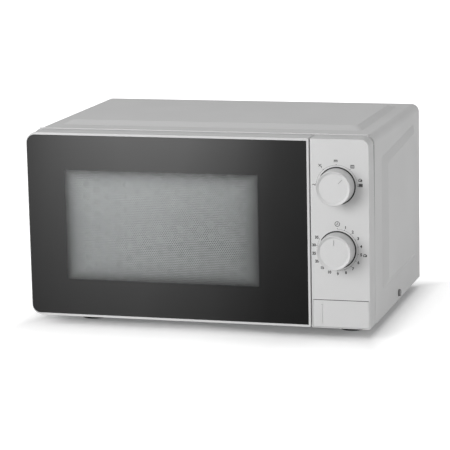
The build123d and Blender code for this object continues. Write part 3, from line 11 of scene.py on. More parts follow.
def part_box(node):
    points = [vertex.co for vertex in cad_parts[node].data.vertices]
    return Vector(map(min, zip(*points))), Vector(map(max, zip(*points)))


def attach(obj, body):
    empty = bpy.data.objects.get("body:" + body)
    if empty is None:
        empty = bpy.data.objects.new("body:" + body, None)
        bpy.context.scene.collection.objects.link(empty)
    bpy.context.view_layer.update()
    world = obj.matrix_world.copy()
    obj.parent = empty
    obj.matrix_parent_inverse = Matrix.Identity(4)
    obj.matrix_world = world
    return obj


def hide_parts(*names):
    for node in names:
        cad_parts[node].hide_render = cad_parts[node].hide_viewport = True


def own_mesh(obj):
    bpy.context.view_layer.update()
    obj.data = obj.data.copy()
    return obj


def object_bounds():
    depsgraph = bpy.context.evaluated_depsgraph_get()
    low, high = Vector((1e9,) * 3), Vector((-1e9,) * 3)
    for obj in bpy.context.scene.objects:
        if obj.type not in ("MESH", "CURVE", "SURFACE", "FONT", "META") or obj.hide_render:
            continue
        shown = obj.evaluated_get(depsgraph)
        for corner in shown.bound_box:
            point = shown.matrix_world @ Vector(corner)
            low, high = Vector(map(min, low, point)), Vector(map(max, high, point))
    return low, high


bl_info = {
    "name": "Microwave oven",
    "version": (1, 0, 0),
    "blender": (4, 5, 0),
    "location": "3D View > Sidebar > Oven",
    "description": "Dresses the packed microwave oven and sets its stage",
    "category": "Object",
}

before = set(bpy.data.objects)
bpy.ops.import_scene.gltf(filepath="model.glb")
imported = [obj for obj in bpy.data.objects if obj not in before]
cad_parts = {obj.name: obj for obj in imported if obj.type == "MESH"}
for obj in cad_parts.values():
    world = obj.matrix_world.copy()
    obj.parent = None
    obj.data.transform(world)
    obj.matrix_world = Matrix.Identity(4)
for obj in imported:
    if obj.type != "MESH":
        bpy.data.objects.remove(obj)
CAD_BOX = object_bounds()

MM = 0.001
DOOR_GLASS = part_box("door_glass")
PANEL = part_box("control_panel")
POWER_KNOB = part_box("power_knob")
TIMER_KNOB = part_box("timer_knob")


# ---- settings ----


def linear(level):
    """A display level from 0 to 255 as a scene-linear value."""
    share = level / 255
    if share <= 0.04045:
        return share / 12.92
    return ((share + 0.055) / 1.055) ** 2.4


def grey(level, warmth=0.0):
    """A near-grey colour, a little warmer or cooler by warmth display levels."""
    return tuple(linear(level + shift) for shift in (warmth, 0.0, -warmth))


def size(name, description, millimetres):
    """A length, written in millimetres and kept in metres."""
    return FloatProperty(
        name=name,
        description=description,
        default=millimetres * MM,
        min=0.0,
        unit="LENGTH",
        precision=5,
    )


def share(name, description, default):
    return FloatProperty(
        name=name, description=description, default=default, min=0.0, max=1.0, subtype="FACTOR"
    )


def colour(name, description, default):
    return FloatVectorProperty(
        name=name,
        description=description,
        default=default,
        size=3,
        min=0.0,
        max=1.0,
        subtype="COLOR",
    )


def angle(name, description, degrees):
    return FloatProperty(
        name=name, description=description, default=math.radians(degrees), subtype="ANGLE"
    )


class OvenColours(bpy.types.PropertyGroup):
    cabinet: colour("Cabinet paint", "Paint of the outer cabinet", grey(212))
    front: colour("Front plastic", "Door frame, control panel, button and knobs", grey(206))
    enamel: colour("Enamel", "Coat inside the cooking space", grey(196, 2))
    print: colour("Panel print", "Marks round the knobs", grey(14))
    glass_print: colour("Glass print", "Black band round the door's window", grey(16))
    screen: colour("Screen", "Perforated sheet behind the window", grey(193))


class OvenWindow(bpy.types.PropertyGroup):
    left: size("Left band", "Printed band left of the window", 49.55)
    right: size("Right band", "Printed band right of the window", 63.45)
    foot: size("Lower band", "Printed band under the window", 46.05)
    head: size("Upper band", "Printed band over the window", 45.05)
    fade: size("Fade", "Width over which the printed dots shrink to nothing", 21.0)
    fade_up: size("Upright fade", "The same width at the window's head and foot", 16.5)
    dot_pitch: size("Dot pitch", "Spacing of the printed dots", 2.1)
    first_dot: share("First dots", "Clear share at the window's very edge", 0.15)
    screen_pitch: size("Screen pitch", "Spacing of the screen's holes", 2.6)
    screen_web: size("Screen web", "Half the steel left between two holes", 0.55)
    screen_thickness: size("Screen thickness", "Thickness of the sheet", 0.4)
    screen_depth: size("Screen depth", "From the glass's back to the screen", 0.05)
    screen_reach: size("Screen reach", "Perforated margin beyond the window", 3.0)
    screen_border: size("Screen border", "Plain border round the holes", 2.7)


class OvenPrint(bpy.types.PropertyGroup):
    arc_radius: size("Arc radius", "Radius of the fine line round a knob", 26.3)
    arc_width: size("Arc width", "Width of the fine line", 0.2)
    tick_length: size("Tick length", "Length of the scale's strokes", 1.2)
    tick_width: size("Tick width", "Width of the scale's strokes", 0.6)
    digit_height: size("Digit height", "Height of the timer's numbers", 3.5)
    digit_weight: share("Digit weight", "How far the numbers swell, by their height", 0.06)
    label_radius: size("Label radius", "From the knob's centre to its labels", 30.6)
    line: size("Icon line", "Width of the icons' strokes", 0.7)
    thickness: size("Ink thickness", "How proud the ink stands", 0.05)
    # Painted shade: the seen width of the dark ring round a knob's foot, which stands in for the
    # shade in its seam.
    seam: size("Knob seam", "Dark seam round a knob's foot", 1.5)
    line_inset: size("Button line", "From the panel's left edge to the button's line", 13.1)
    mark_start: size("Mark start", "From a knob's axis to its line", 9.15)
    mark_length: size("Mark length", "Length of a knob's line", 6.7)
    mark_width: size("Mark width", "Width of a knob's line", 0.45)
    mark_depth: size("Mark depth", "From a knob's rim back to its line", 2.02)


class OvenShape(bpy.types.PropertyGroup):
    hem: size("Hem", "How far the cabinet's front edge stands over the door", 1.5)
    hem_depth: size("Hem depth", "Width over which that step fades", 13.0)
    hem_inset: size("Hem inset", "From the cabinet's side to the end of the step", 12.0)
    # Painted shade: where the dark wedge in the gap behind the panel's free side ends, and how
    # far it sits in from the panel's side.
    gasket_drop: size("Gasket drop", "From the panel's top to the end of its foam", 11.5)
    gasket_inset: size("Gasket inset", "From the panel's side to its foam", 0.2)
    button_gap: size("Button gap", "Height of the seam over the button", 0.8)


class OvenStage(bpy.types.PropertyGroup):
    key_power: FloatProperty(
        name="Key", description="Power of the key lamp", default=62.5, unit="POWER"
    )
    fill_power: FloatProperty(
        name="Fill", description="Power of the front lamp", default=9.0, unit="POWER"
    )
    ambient: share("Ambient", "Light from all around", 0.41)
    floor: colour("Floor", "Colour of the floor", grey(240))
    # Painted shade on the floor: how much further forward the shade left by the floor's painted
    # glow reaches at the right.
    shade_shift: size(
        "Shade shift", "How much further forward the shade reaches at the right", 24.0
    )
    lens: FloatProperty(name="Lens", description="Focal length", default=178.869, unit="CAMERA")
    tilt: angle("Tilt", "Camera turn about X", 78.9695)
    roll: angle("Roll", "Camera turn about Y", 1.2029)
    pan: angle("Pan", "Camera turn about Z", 16.0036)


# ---- materials ----


class Finish:
    """A procedural material on one Principled shader, read in Object coordinates."""

    def __init__(self, name, base, roughness, metallic=0.0, **sockets):
        self.material = bpy.data.materials.new(name)
        self.material.use_nodes = True
        self.tree = self.material.node_tree
        self.shader = self.tree.nodes["Principled BSDF"]
        self.base = tuple(base)
        self.shader.inputs["Base Color"].default_value = (*base, 1.0)
        self.shader.inputs["Roughness"].default_value = roughness
        self.shader.inputs["Metallic"].default_value = metallic
        for socket, value in sockets.items():
            self.shader.inputs[socket.replace("_", " ")].default_value = value
        self.coords = self.node("ShaderNodeTexCoord").outputs["Object"]
        self.height = None

    def node(self, kind, **inputs):
        """Adds a node; values go to its settings, or to its inputs by number as in0, in1."""
        made = self.tree.nodes.new(kind)
        for key, value in inputs.items():
            if key.startswith("in") and key[2:].isdigit():
                self.feed(made.inputs[int(key[2:])], value)
            else:
                setattr(made, key, value)
        return made

    def feed(self, socket, value):
        if isinstance(value, bpy.types.NodeSocket):
            self.tree.links.new(value, socket)
        else:
            socket.default_value = value

    def math(self, operation, first, second=0.0, third=0.0):
        made = self.node("ShaderNodeMath", operation=operation, in0=first, in1=second, in2=third)
        return made.outputs[0]

    def hypotenuse(self, first, second):
        """The distance that two sides at right angles make."""
        total = self.math("MULTIPLY_ADD", first, first, self.math("MULTIPLY", second, second))
        return self.math("SQRT", total)

    def stretched(self, scale):
        made = self.node("ShaderNodeMapping", in0=self.coords)
        made.inputs["Scale"].default_value = scale
        return made.outputs[0]

    def noise(self, feature, detail=2.0, stretch=None):
        """Noise whose patches are about feature millimetres across."""
        made = self.node("ShaderNodeTexNoise")
        self.feed(made.inputs["Vector"], self.stretched(stretch) if stretch else self.coords)
        made.inputs["Scale"].default_value = 1 / (feature * MM)
        made.inputs["Detail"].default_value = detail
        return made.outputs["Fac"]

    def cells(self, feature, output="Color", metric="EUCLIDEAN"):
        """Cells about feature millimetres across."""
        made = self.node("ShaderNodeTexVoronoi", distance=metric)
        self.feed(made.inputs["Vector"], self.coords)
        made.inputs["Scale"].default_value = 1 / (feature * MM)
        return made.outputs[output]

    def bands(self, pitch, axis):
        """Fine parallel lines across an axis."""
        made = self.node("ShaderNodeTexWave", wave_type="BANDS", bands_direction=axis)
        self.feed(made.inputs["Vector"], self.coords)
        made.inputs["Scale"].default_value = math.pi / (10 * pitch * MM)
        return made.outputs["Fac"]

    def graded(self, source, low, high, start=0.0, end=1.0, smooth=False):
        made = self.node("ShaderNodeMapRange")
        if smooth:
            made.interpolation_type = "SMOOTHSTEP"
        for socket, value in zip(
            ("Value", "From Min", "From Max", "To Min", "To Max"),
            (source, start, end, low, high),
        ):
            self.feed(made.inputs[socket], value)
        return made.outputs["Result"]

    def segments(self, source, points):
        """A value that follows straight lines between points of (millimetres, value)."""
        total = points[0][1]
        for (start, low), (end, high) in zip(points, points[1:]):
            rise = self.graded(source, 0.0, high - low, start * MM, end * MM)
            total = self.math("ADD", rise, total)
        return total

    def mottled(self, source, amount, tint=None, start=0.3, end=0.7):
        """Lets the base colour vary with source, between darker and lighter by amount."""
        low = tuple(c * (1 - amount) for c in self.base)
        high = tint or tuple(min(1.0, c * (1 + amount)) for c in self.base)
        made = self.node("ShaderNodeMix", data_type="RGBA")
        self.feed(made.inputs[0], self.graded(source, 0.0, 1.0, start, end))
        made.inputs[6].default_value = (*low, 1.0)
        made.inputs[7].default_value = (*high, 1.0)
        self.feed(self.shader.inputs["Base Color"], made.outputs[2])
        return self

    def toned(self, factor):
        """Multiplies the base colour by a factor."""
        colour = self.shader.inputs["Base Color"].links[0].from_socket
        made = self.node("ShaderNodeVectorMath", operation="SCALE", in0=colour, in3=factor)
        self.feed(self.shader.inputs["Base Color"], made.outputs[0])

    def worn(self, source, low, high, start=0.3, end=0.7):
        """Lets the roughness run between two values."""
        self.feed(self.shader.inputs["Roughness"], self.graded(source, low, high, start, end))
        return self

    def raised(self, source, millimetres):
        """Adds fine relief; several calls stack."""
        made = self.node("ShaderNodeBump")
        made.inputs["Strength"].default_value = 1.0
        made.inputs["Distance"].default_value = millimetres * MM
        self.feed(made.inputs["Height"], source)
        if self.height is not None:
            self.feed(made.inputs["Normal"], self.height)
        self.height = made.outputs["Normal"]
        self.feed(self.shader.inputs["Normal"], self.height)
        return self

    def mixed(self, part, first, second):
        """A blend of two shaders' outputs."""
        made = self.node("ShaderNodeMixShader", in0=part, in1=first, in2=second)
        return made.outputs[0]

    def surface(self, socket):
        self.tree.links.new(socket, self.tree.nodes["Material Output"].inputs["Surface"])


def dress(finish, *names):
    """Gives CAD nodes a finish."""
    for name in names:
        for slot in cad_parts[name].material_slots:
            slot.material = finish.material


def stood(name, data):
    """A new object of the scene, at the origin."""
    made = bpy.data.objects.new(name, data)
    bpy.context.scene.collection.objects.link(made)
    return made


def settled(name, shape):
    """Makes a finished bmesh a mesh."""
    mesh = bpy.data.meshes.new(name)
    shape.to_mesh(mesh)
    shape.free()
    return mesh


def placed_piece(name, shape, finish, body):
    """Makes an object at the origin from finished geometry, and lets it ride a body."""
    mesh = settled(name, shape)
    mesh.materials.append(finish.material)
    made = stood(name, mesh)
    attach(made, body)
    return made


def turned(degrees, axis):
    return Matrix.Rotation(math.radians(degrees), 4, axis)


def vertices(geometry):
    return [g for g in geometry if isinstance(g, bmesh.types.BMVert)]


def whole(shape):
    return shape.verts[:] + shape.edges[:] + shape.faces[:]


def add_box(shape, low, high):
    """Adds a box between two corners to a bmesh."""
    low, high = Vector(low), Vector(high)
    scale = Matrix.Diagonal((*(high - low), 1.0))
    return bmesh.ops.create_cube(
        shape, size=1.0, matrix=Matrix.Translation((low + high) / 2) @ scale
    )["verts"]


def prism(corners, start, end):
    """A bar along X from start to end, whose section has the corners (y, z)."""
    bar = bmesh.new()
    face = bar.faces.new([bar.verts.new((start, y, z)) for y, z in corners])
    far = bmesh.ops.extrude_face_region(bar, geom=[face], use_keep_orig=True)["geom"]
    bmesh.ops.translate(bar, verts=vertices(far), vec=(end - start, 0, 0))
    bmesh.ops.recalc_face_normals(bar, faces=bar.faces)
    return bar


# ---- camera and stage ----

CAMERA_PLACE = (0.81469, -2.81244, 0.68388)

# Each lamp's name, setting, width and place.
LAMPS = (
    ("key_lamp", "key_power", 1.9, (-1.5, -2.5, 1.05)),
    ("fill_lamp", "fill_power", 1.2, (2.7, -0.3, 0.75)),
)

# Painted light on the floor: whiteness added for camera, mirror and glass rays, which cuts the
# oven's shadow short, by the distance in millimetres outside the oven's sides. A first value
# holds further in too, so the right side's also lifts the floor under the oven.
FRONT_PAINTED_LIFT = (
    (-58, 0.0), (-34, 0.22), (-13, 0.31), (0, 0.36), (28, 0.47), (60, 0.56), (120, 1.0),
)
RIGHT_PAINTED_LIFT = ((-12, 0.08), (-3, 0.32), (3, 0.37), (24, 0.58), (45, 0.64), (110, 1.0))
LEFT_PAINTED_LIFT = ((-4, 0.0), (12, 0.3), (40, 0.6), (110, 1.0))
FLOOR_REACH = 12.0
PAINTED_SHADE_WIDTH = 110 * MM  # from the middle to where the painted shade on the floor has moved all the way forward

# The reflected board's strength from side to side, in millimetres, along lines that slope.
BOARD_RIGHT = (
    (-130, 1.0), (-50, 0.95), (0, 0.78), (50, 0.62), (90, 0.43), (130, 0.28), (170, 0.22),
    (250, 0.18),
)
BOARD_LEFT = ((-215, 0.46), (-165, 0.67), (-110, 0.84), (-65, 0.92), (-20, 1.0))
BOARD_SIDES = ((-0.256, BOARD_RIGHT), (-0.36, BOARD_LEFT))
# Its strength at its near and its far end, and where these lie before the oven.
BOARD_AHEAD = (1.2, 3.16, -0.25, -1.65)
BOARD_REACH, BOARD_PLACE = 1.5, (-0.6, -1.66, 0.001)


class OVEN_OT_camera(bpy.types.Operator):
    """Stand the camera before the oven, right of its middle and a little above it"""

    bl_idname = "oven.camera"
    bl_label = "Camera"

    def execute(self, context):
        stage = context.scene.oven_stage
        data = bpy.data.cameras.new("camera")
        data.lens = stage.lens
        data.sensor_width = 36.0
        data.clip_end = 50.0
        camera = stood("camera", data)
        camera.location = CAMERA_PLACE
        camera.rotation_euler = (stage.tilt, stage.roll, stage.pan)
        context.scene.camera = camera
        return {"FINISHED"}


def lamp(name, power, width, place, aim):
    """A square soft lamp at place, turned to aim."""
    data = bpy.data.lights.new(name, "AREA")
    data.energy = power
    data.shape = "SQUARE"
    data.size = width
    made = stood(name, data)
    made.location = place
    made.rotation_euler = (aim - Vector(place)).to_track_quat("-Z", "Y").to_euler()


def looked_at(nodes, links):
    """A socket that is 1 for camera, mirror and glass rays, and 0 for lighting rays."""
    path = nodes.new("ShaderNodeLightPath")
    total = path.outputs["Is Camera Ray"]
    for name in ("Is Glossy Ray", "Is Transmission Ray"):
        larger = nodes.new("ShaderNodeMath")
        larger.operation = "MAXIMUM"
        links.new(total, larger.inputs[0])
        links.new(path.outputs[name], larger.inputs[1])
        total = larger.outputs[0]
    return total


def stage_sheet(name, reach, place, finish):
    """A level square for the stage, reaching that far from its middle."""
    shape = bmesh.new()
    bmesh.ops.create_grid(shape, x_segments=1, y_segments=1, size=reach)
    bmesh.ops.translate(shape, verts=shape.verts, vec=place)
    mesh = settled(name, shape)
    mesh.materials.append(finish.material)
    return stood(name, mesh)


class OVEN_OT_stage(bpy.types.Operator):
    """Lay the pale floor and set the soft studio light"""

    bl_idname = "oven.stage"
    bl_label = "Stage"

    def execute(self, context):
        stage = context.scene.oven_stage
        self.world(context.scene, stage)
        self.floor(stage)
        self.reflected_board()
        middle = (CAD_BOX[0] + CAD_BOX[1]) / 2
        for name, power, width, place in LAMPS:
            lamp(name, getattr(stage, power), width, place, middle)
        context.scene.view_settings.view_transform = "Standard"
        return {"FINISHED"}

    def world(self, scene, stage):
        world = bpy.data.worlds.new("studio")
        world.use_nodes = True
        scene.world = world
        nodes, links = world.node_tree.nodes, world.node_tree.links
        light, white = nodes["Background"], nodes.new("ShaderNodeBackground")
        mix = nodes.new("ShaderNodeMixShader")
        links.new(looked_at(nodes, links), mix.inputs[0])
        for number, (glow, strength) in enumerate(((light, stage.ambient), (white, 1.0)), 1):
            glow.inputs["Color"].default_value = (1, 1, 1, 1)
            glow.inputs["Strength"].default_value = strength
            links.new(glow.outputs[0], mix.inputs[number])
        links.new(mix.outputs[0], nodes["World Output"].inputs["Surface"])

    def floor(self, stage):
        finish = Finish("pale_floor", stage.floor, 0.9, Specular_IOR_Level=0.0)
        finish.mottled(finish.noise(900.0), 0.006)
        # Painted light: the floor glows for camera, mirror and glass rays by an amount that
        # grows away from the oven, so its shadow is cut short.
        glow = finish.node("ShaderNodeEmission")
        lift = self.lift(finish, stage)
        seen = looked_at(finish.tree.nodes, finish.tree.links)
        finish.feed(glow.inputs["Strength"], finish.math("MULTIPLY", seen, lift))
        both = finish.node("ShaderNodeAddShader")
        finish.tree.links.new(finish.shader.outputs[0], both.inputs[0])
        finish.tree.links.new(glow.outputs[0], both.inputs[1])
        finish.surface(both.outputs[0])
        floor = stage_sheet("floor", FLOOR_REACH, (0, 0, 0), finish)

    def lift(self, finish, stage):
        """Painted light: whiteness added to the floor, growing with the distance from the oven's
        sides, so that the oven's shadow is cut short.
        """
        axes = finish.node("ShaderNodeSeparateXYZ", in0=finish.coords)
        low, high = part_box("door_frame")[0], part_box("outer_cabinet")[1]
        x, y = axes.outputs["X"], axes.outputs["Y"]
        shift = finish.graded(x, 0.0, stage.shade_shift, 0.0, PAINTED_SHADE_WIDTH)
        front = finish.math("SUBTRACT", finish.math("SUBTRACT", low.y, y), shift)
        total = finish.segments(front, FRONT_PAINTED_LIFT)
        for away, points in (
            (finish.math("SUBTRACT", x, high.x), RIGHT_PAINTED_LIFT),
            (finish.math("SUBTRACT", low.x, x), LEFT_PAINTED_LIFT),
            (finish.math("SUBTRACT", y, high.y), LEFT_PAINTED_LIFT),
        ):
            total = finish.math("MAXIMUM", total, finish.segments(away, points))
        return total

    def reflected_board(self):
        """A graded board lying before the oven, which only mirror rays meet."""
        finish = Finish("graded_board", (0.0, 0.0, 0.0), 1.0)
        axes = finish.node("ShaderNodeSeparateXYZ", in0=finish.coords)
        ahead = finish.graded(axes.outputs["Y"], *BOARD_AHEAD)
        sides = []
        for slope, points in BOARD_SIDES:
            across = finish.math("MULTIPLY_ADD", axes.outputs["Y"], slope, axes.outputs["X"])
            sides.append(finish.segments(across, points))
        glow = finish.node("ShaderNodeEmission")
        shade = finish.math("MULTIPLY", *sides)
        finish.feed(glow.inputs["Strength"], finish.math("MULTIPLY", ahead, shade))
        finish.surface(glow.outputs[0])
        board = stage_sheet("reflected_board", BOARD_REACH, BOARD_PLACE, finish)
        for ray in ("camera", "diffuse", "shadow", "transmission"):
            setattr(board, "visible_" + ray, False)


# ---- cabinet and front ----

HEM_SINK = 0.2 * MM  # how deep the hem sits in the cabinet

# Painted shade behind the panel's free side: a dark wedge standing in for the shade in the gap,
# thickest at its upper end.
GAP_SHADE_FOOT = 126 * MM  # from the panel's top to its lower end
GAP_SHADE_THICKNESS = 2.7 * MM
GAP_SHADE_DEPTH = 9 * MM  # from the panel's side inwards
GAP_SHADE_BACK = 0.15 * MM  # clearance before the cabinet

# Painted shade: a dark strip in the button's seam, standing in for the shade there.
BUTTON_SHADE_MARGIN = 1 * MM
BUTTON_SHADE_FIT = 0.03 * MM
BUTTON_SHADE_FACES = (0.3 * MM, 2.0 * MM)  # its front and back behind the panel's face

# The button's line, with respect to its middle, the button's face and its ends.
LINE_SIDES = (0.35 * MM, 0.42 * MM)
LINE_FACES = (0.01 * MM, 0.3 * MM)
LINE_END = 5.3 * MM

MARK_THICKNESS = 0.35 * MM


class OVEN_OT_cabinet(bpy.types.Operator):
    """Paint the outer cabinet"""

    bl_idname = "oven.cabinet"
    bl_label = "Cabinet"

    def execute(self, context):
        paint = Finish(
            "cabinet_paint", context.scene.oven_colours.cabinet, 0.6, Specular_IOR_Level=0.2
        )
        paint.mottled(paint.noise(0.35, 3.0), 0.02)
        paint.worn(paint.noise(60.0), 0.56, 0.64)
        paint.raised(paint.noise(1.1, 1.0), 0.012).raised(paint.noise(45.0), 0.05)
        dress(paint, "outer_cabinet")
        self.hem(context.scene.oven_shape, paint)
        return {"FINISHED"}

    def hem(self, shape, paint):
        """The low step by which the cabinet's top stands over the door, fading backwards."""
        low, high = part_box("outer_cabinet")
        top = PANEL[1].z
        ends = (low.x + shape.hem_inset, high.x - shape.hem_inset)
        section = ((0.0, -HEM_SINK), (0.0, shape.hem), (shape.hem_depth, -HEM_SINK))
        strip = prism([(low.y + y, top + z) for y, z in section], *ends)
        placed_piece("cabinet_hem", strip, paint, "cabinet")


class OVEN_OT_front(bpy.types.Operator):
    """Finish the door frame, the control panel, the button and the knobs"""

    bl_idname = "oven.front"
    bl_label = "Front"

    def execute(self, context):
        silver = Finish(
            "silver_plastic", context.scene.oven_colours.front, 0.55, Specular_IOR_Level=0.2
        )
        silver.mottled(silver.cells(0.28), 0.025, start=0.0, end=1.0)
        silver.worn(silver.noise(25.0), 0.5, 0.6)
        silver.raised(silver.noise(0.5, 1.0), 0.006)
        dress(silver, "door_frame", "control_panel", "open_button")
        knob = Finish(
            "silver_knob", context.scene.oven_colours.front, 0.36, Specular_IOR_Level=0.4
        )
        knob.mottled(knob.cells(0.25), 0.02, start=0.0, end=1.0)
        knob.worn(knob.noise(12.0), 0.33, 0.4)
        dress(knob, "power_knob", "timer_knob")
        self.gaskets(context.scene.oven_shape)
        return {"FINISHED"}

    def gaskets(self, shape):
        """Painted shade: a dark wedge in the gap behind the panel's free side, and a dark strip
        in the button's seam, standing in for the shade there.
        """
        # Painted shade: the dark wedge in the panel's gap.
        gap_shade = Finish("gap_foam", grey(92), 0.9, Specular_IOR_Level=0.05)
        gap_shade.mottled(gap_shade.noise(0.9), 0.12)
        # Painted shade: the dark strip in the button's seam.
        button_shade = Finish("seam_felt", grey(26), 0.95, Specular_IOR_Level=0.0)
        button_shade.mottled(button_shade.noise(0.6), 0.12)
        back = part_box("outer_cabinet")[0].y - GAP_SHADE_BACK
        side, head = PANEL[1].x, PANEL[1].z - shape.gasket_drop
        section = ((back, PANEL[1].z - GAP_SHADE_FOOT), (back, head), (back - GAP_SHADE_THICKNESS, head))
        wedge = prism(section, side - GAP_SHADE_DEPTH, side - shape.gasket_inset)
        placed_piece("panel_gasket", wedge, gap_shade, "cabinet")
        low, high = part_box("open_button")
        front, rear = (PANEL[0].y + depth for depth in BUTTON_SHADE_FACES)
        strip = bmesh.new()
        add_box(
            strip,
            (low.x + BUTTON_SHADE_MARGIN, front, high.z + BUTTON_SHADE_FIT),
            (high.x - BUTTON_SHADE_MARGIN, rear, high.z + shape.button_gap - BUTTON_SHADE_FIT),
        )
        placed_piece("button_gasket", strip, button_shade, "cabinet")


# ---- door glass and screen ----

# The clear share reaches its end value at this many fade widths from the window's edge.
FADE_END, FADE_WIDTHS = 1.9, 2.0
DOT_SOFTNESS = 0.05  # of a dot's edge, as a share of the pitch
CLEAR_TINT = (0.93, 0.94, 0.94, 1)
SCREEN_PAINTED_SHADE_ACROSS = ((-70, 1.0), (0, 0.9), (60, 0.79))  # painted shade, darker to the right: its tone by place, in millimetres
SCREEN_PAINTED_SHADE_UP = ((100, 0.84), (145, 0.9), (185, 1.03))
MERGE = 0.01 * MM


class OVEN_OT_glass(bpy.types.Operator):
    """Print and glaze the door's glass"""

    bl_idname = "oven.glass"
    bl_label = "Door glass"

    def execute(self, context):
        window = context.scene.oven_window
        low, high = window_corners(window)
        centre, half = (low + high) / 2, (high - low) / 2
        glass = Finish("door_glass", context.scene.oven_colours.glass_print, 0.04)
        glass.mottled(glass.noise(40.0), 0.1)
        axes = glass.node("ShaderNodeSeparateXYZ", in0=glass.coords)
        insets, spots = [], []
        for axis, middle, reach, pace in (
            ("X", centre.x, half.x, 1.0), ("Z", centre.z, half.z, window.fade / window.fade_up)
        ):
            along = axes.outputs[axis]
            away = glass.math("ABSOLUTE", glass.math("SUBTRACT", along, middle))
            insets.append(glass.math("MULTIPLY", glass.math("SUBTRACT", reach, away), pace))
            turn = glass.math("FRACT", glass.math("DIVIDE", along, window.dot_pitch))
            spots.append(glass.math("ABSOLUTE", glass.math("SUBTRACT", turn, 0.5)))
        inset = glass.math("MINIMUM", *insets)
        distance = glass.math(
            "MINIMUM",
            glass.hypotenuse(*spots),
            glass.hypotenuse(*(glass.math("SUBTRACT", 0.5, s) for s in spots)),
        )
        fade = FADE_WIDTHS * window.fade
        seen_share = glass.graded(inset, window.first_dot, FADE_END, 0.0, fade)
        open_share = glass.math("SQRT", seen_share)
        radius = glass.math("SQRT", glass.math("DIVIDE", open_share, math.tau))
        edge = glass.math("SUBTRACT", distance, radius)
        dots = glass.graded(edge, 0.0, 1.0, -DOT_SOFTNESS, DOT_SOFTNESS, smooth=True)
        outside = glass.math("LESS_THAN", inset, 0.0)
        printed_face = glass.math("LESS_THAN", axes.outputs["Y"], centre.y)
        solid = glass.math("MULTIPLY", glass.math("MAXIMUM", dots, outside), printed_face)
        clear = glass.node("ShaderNodeBsdfTransparent", in0=CLEAR_TINT)
        gloss = glass.node("ShaderNodeBsdfGlossy")
        gloss.inputs["Roughness"].default_value = 0.03
        shine = glass.node("ShaderNodeFresnel")
        shine.inputs["IOR"].default_value = 1.5
        back = glass.node("ShaderNodeNewGeometry").outputs["Backfacing"]
        facing = glass.math("SUBTRACT", 1.0, back)
        mirror = glass.math("MULTIPLY", shine.outputs[0], facing)
        pane = glass.mixed(mirror, clear.outputs[0], gloss.outputs[0])
        glass.surface(glass.mixed(solid, pane, glass.shader.outputs[0]))
        dress(glass, "door_glass")
        return {"FINISHED"}


def window_corners(window):
    """The window's lowest and highest corner in the plane of the door glass."""
    low, high = DOOR_GLASS
    return (
        Vector((low.x + window.left, low.y, low.z + window.foot)),
        Vector((high.x - window.right, high.y, high.z - window.head)),
    )


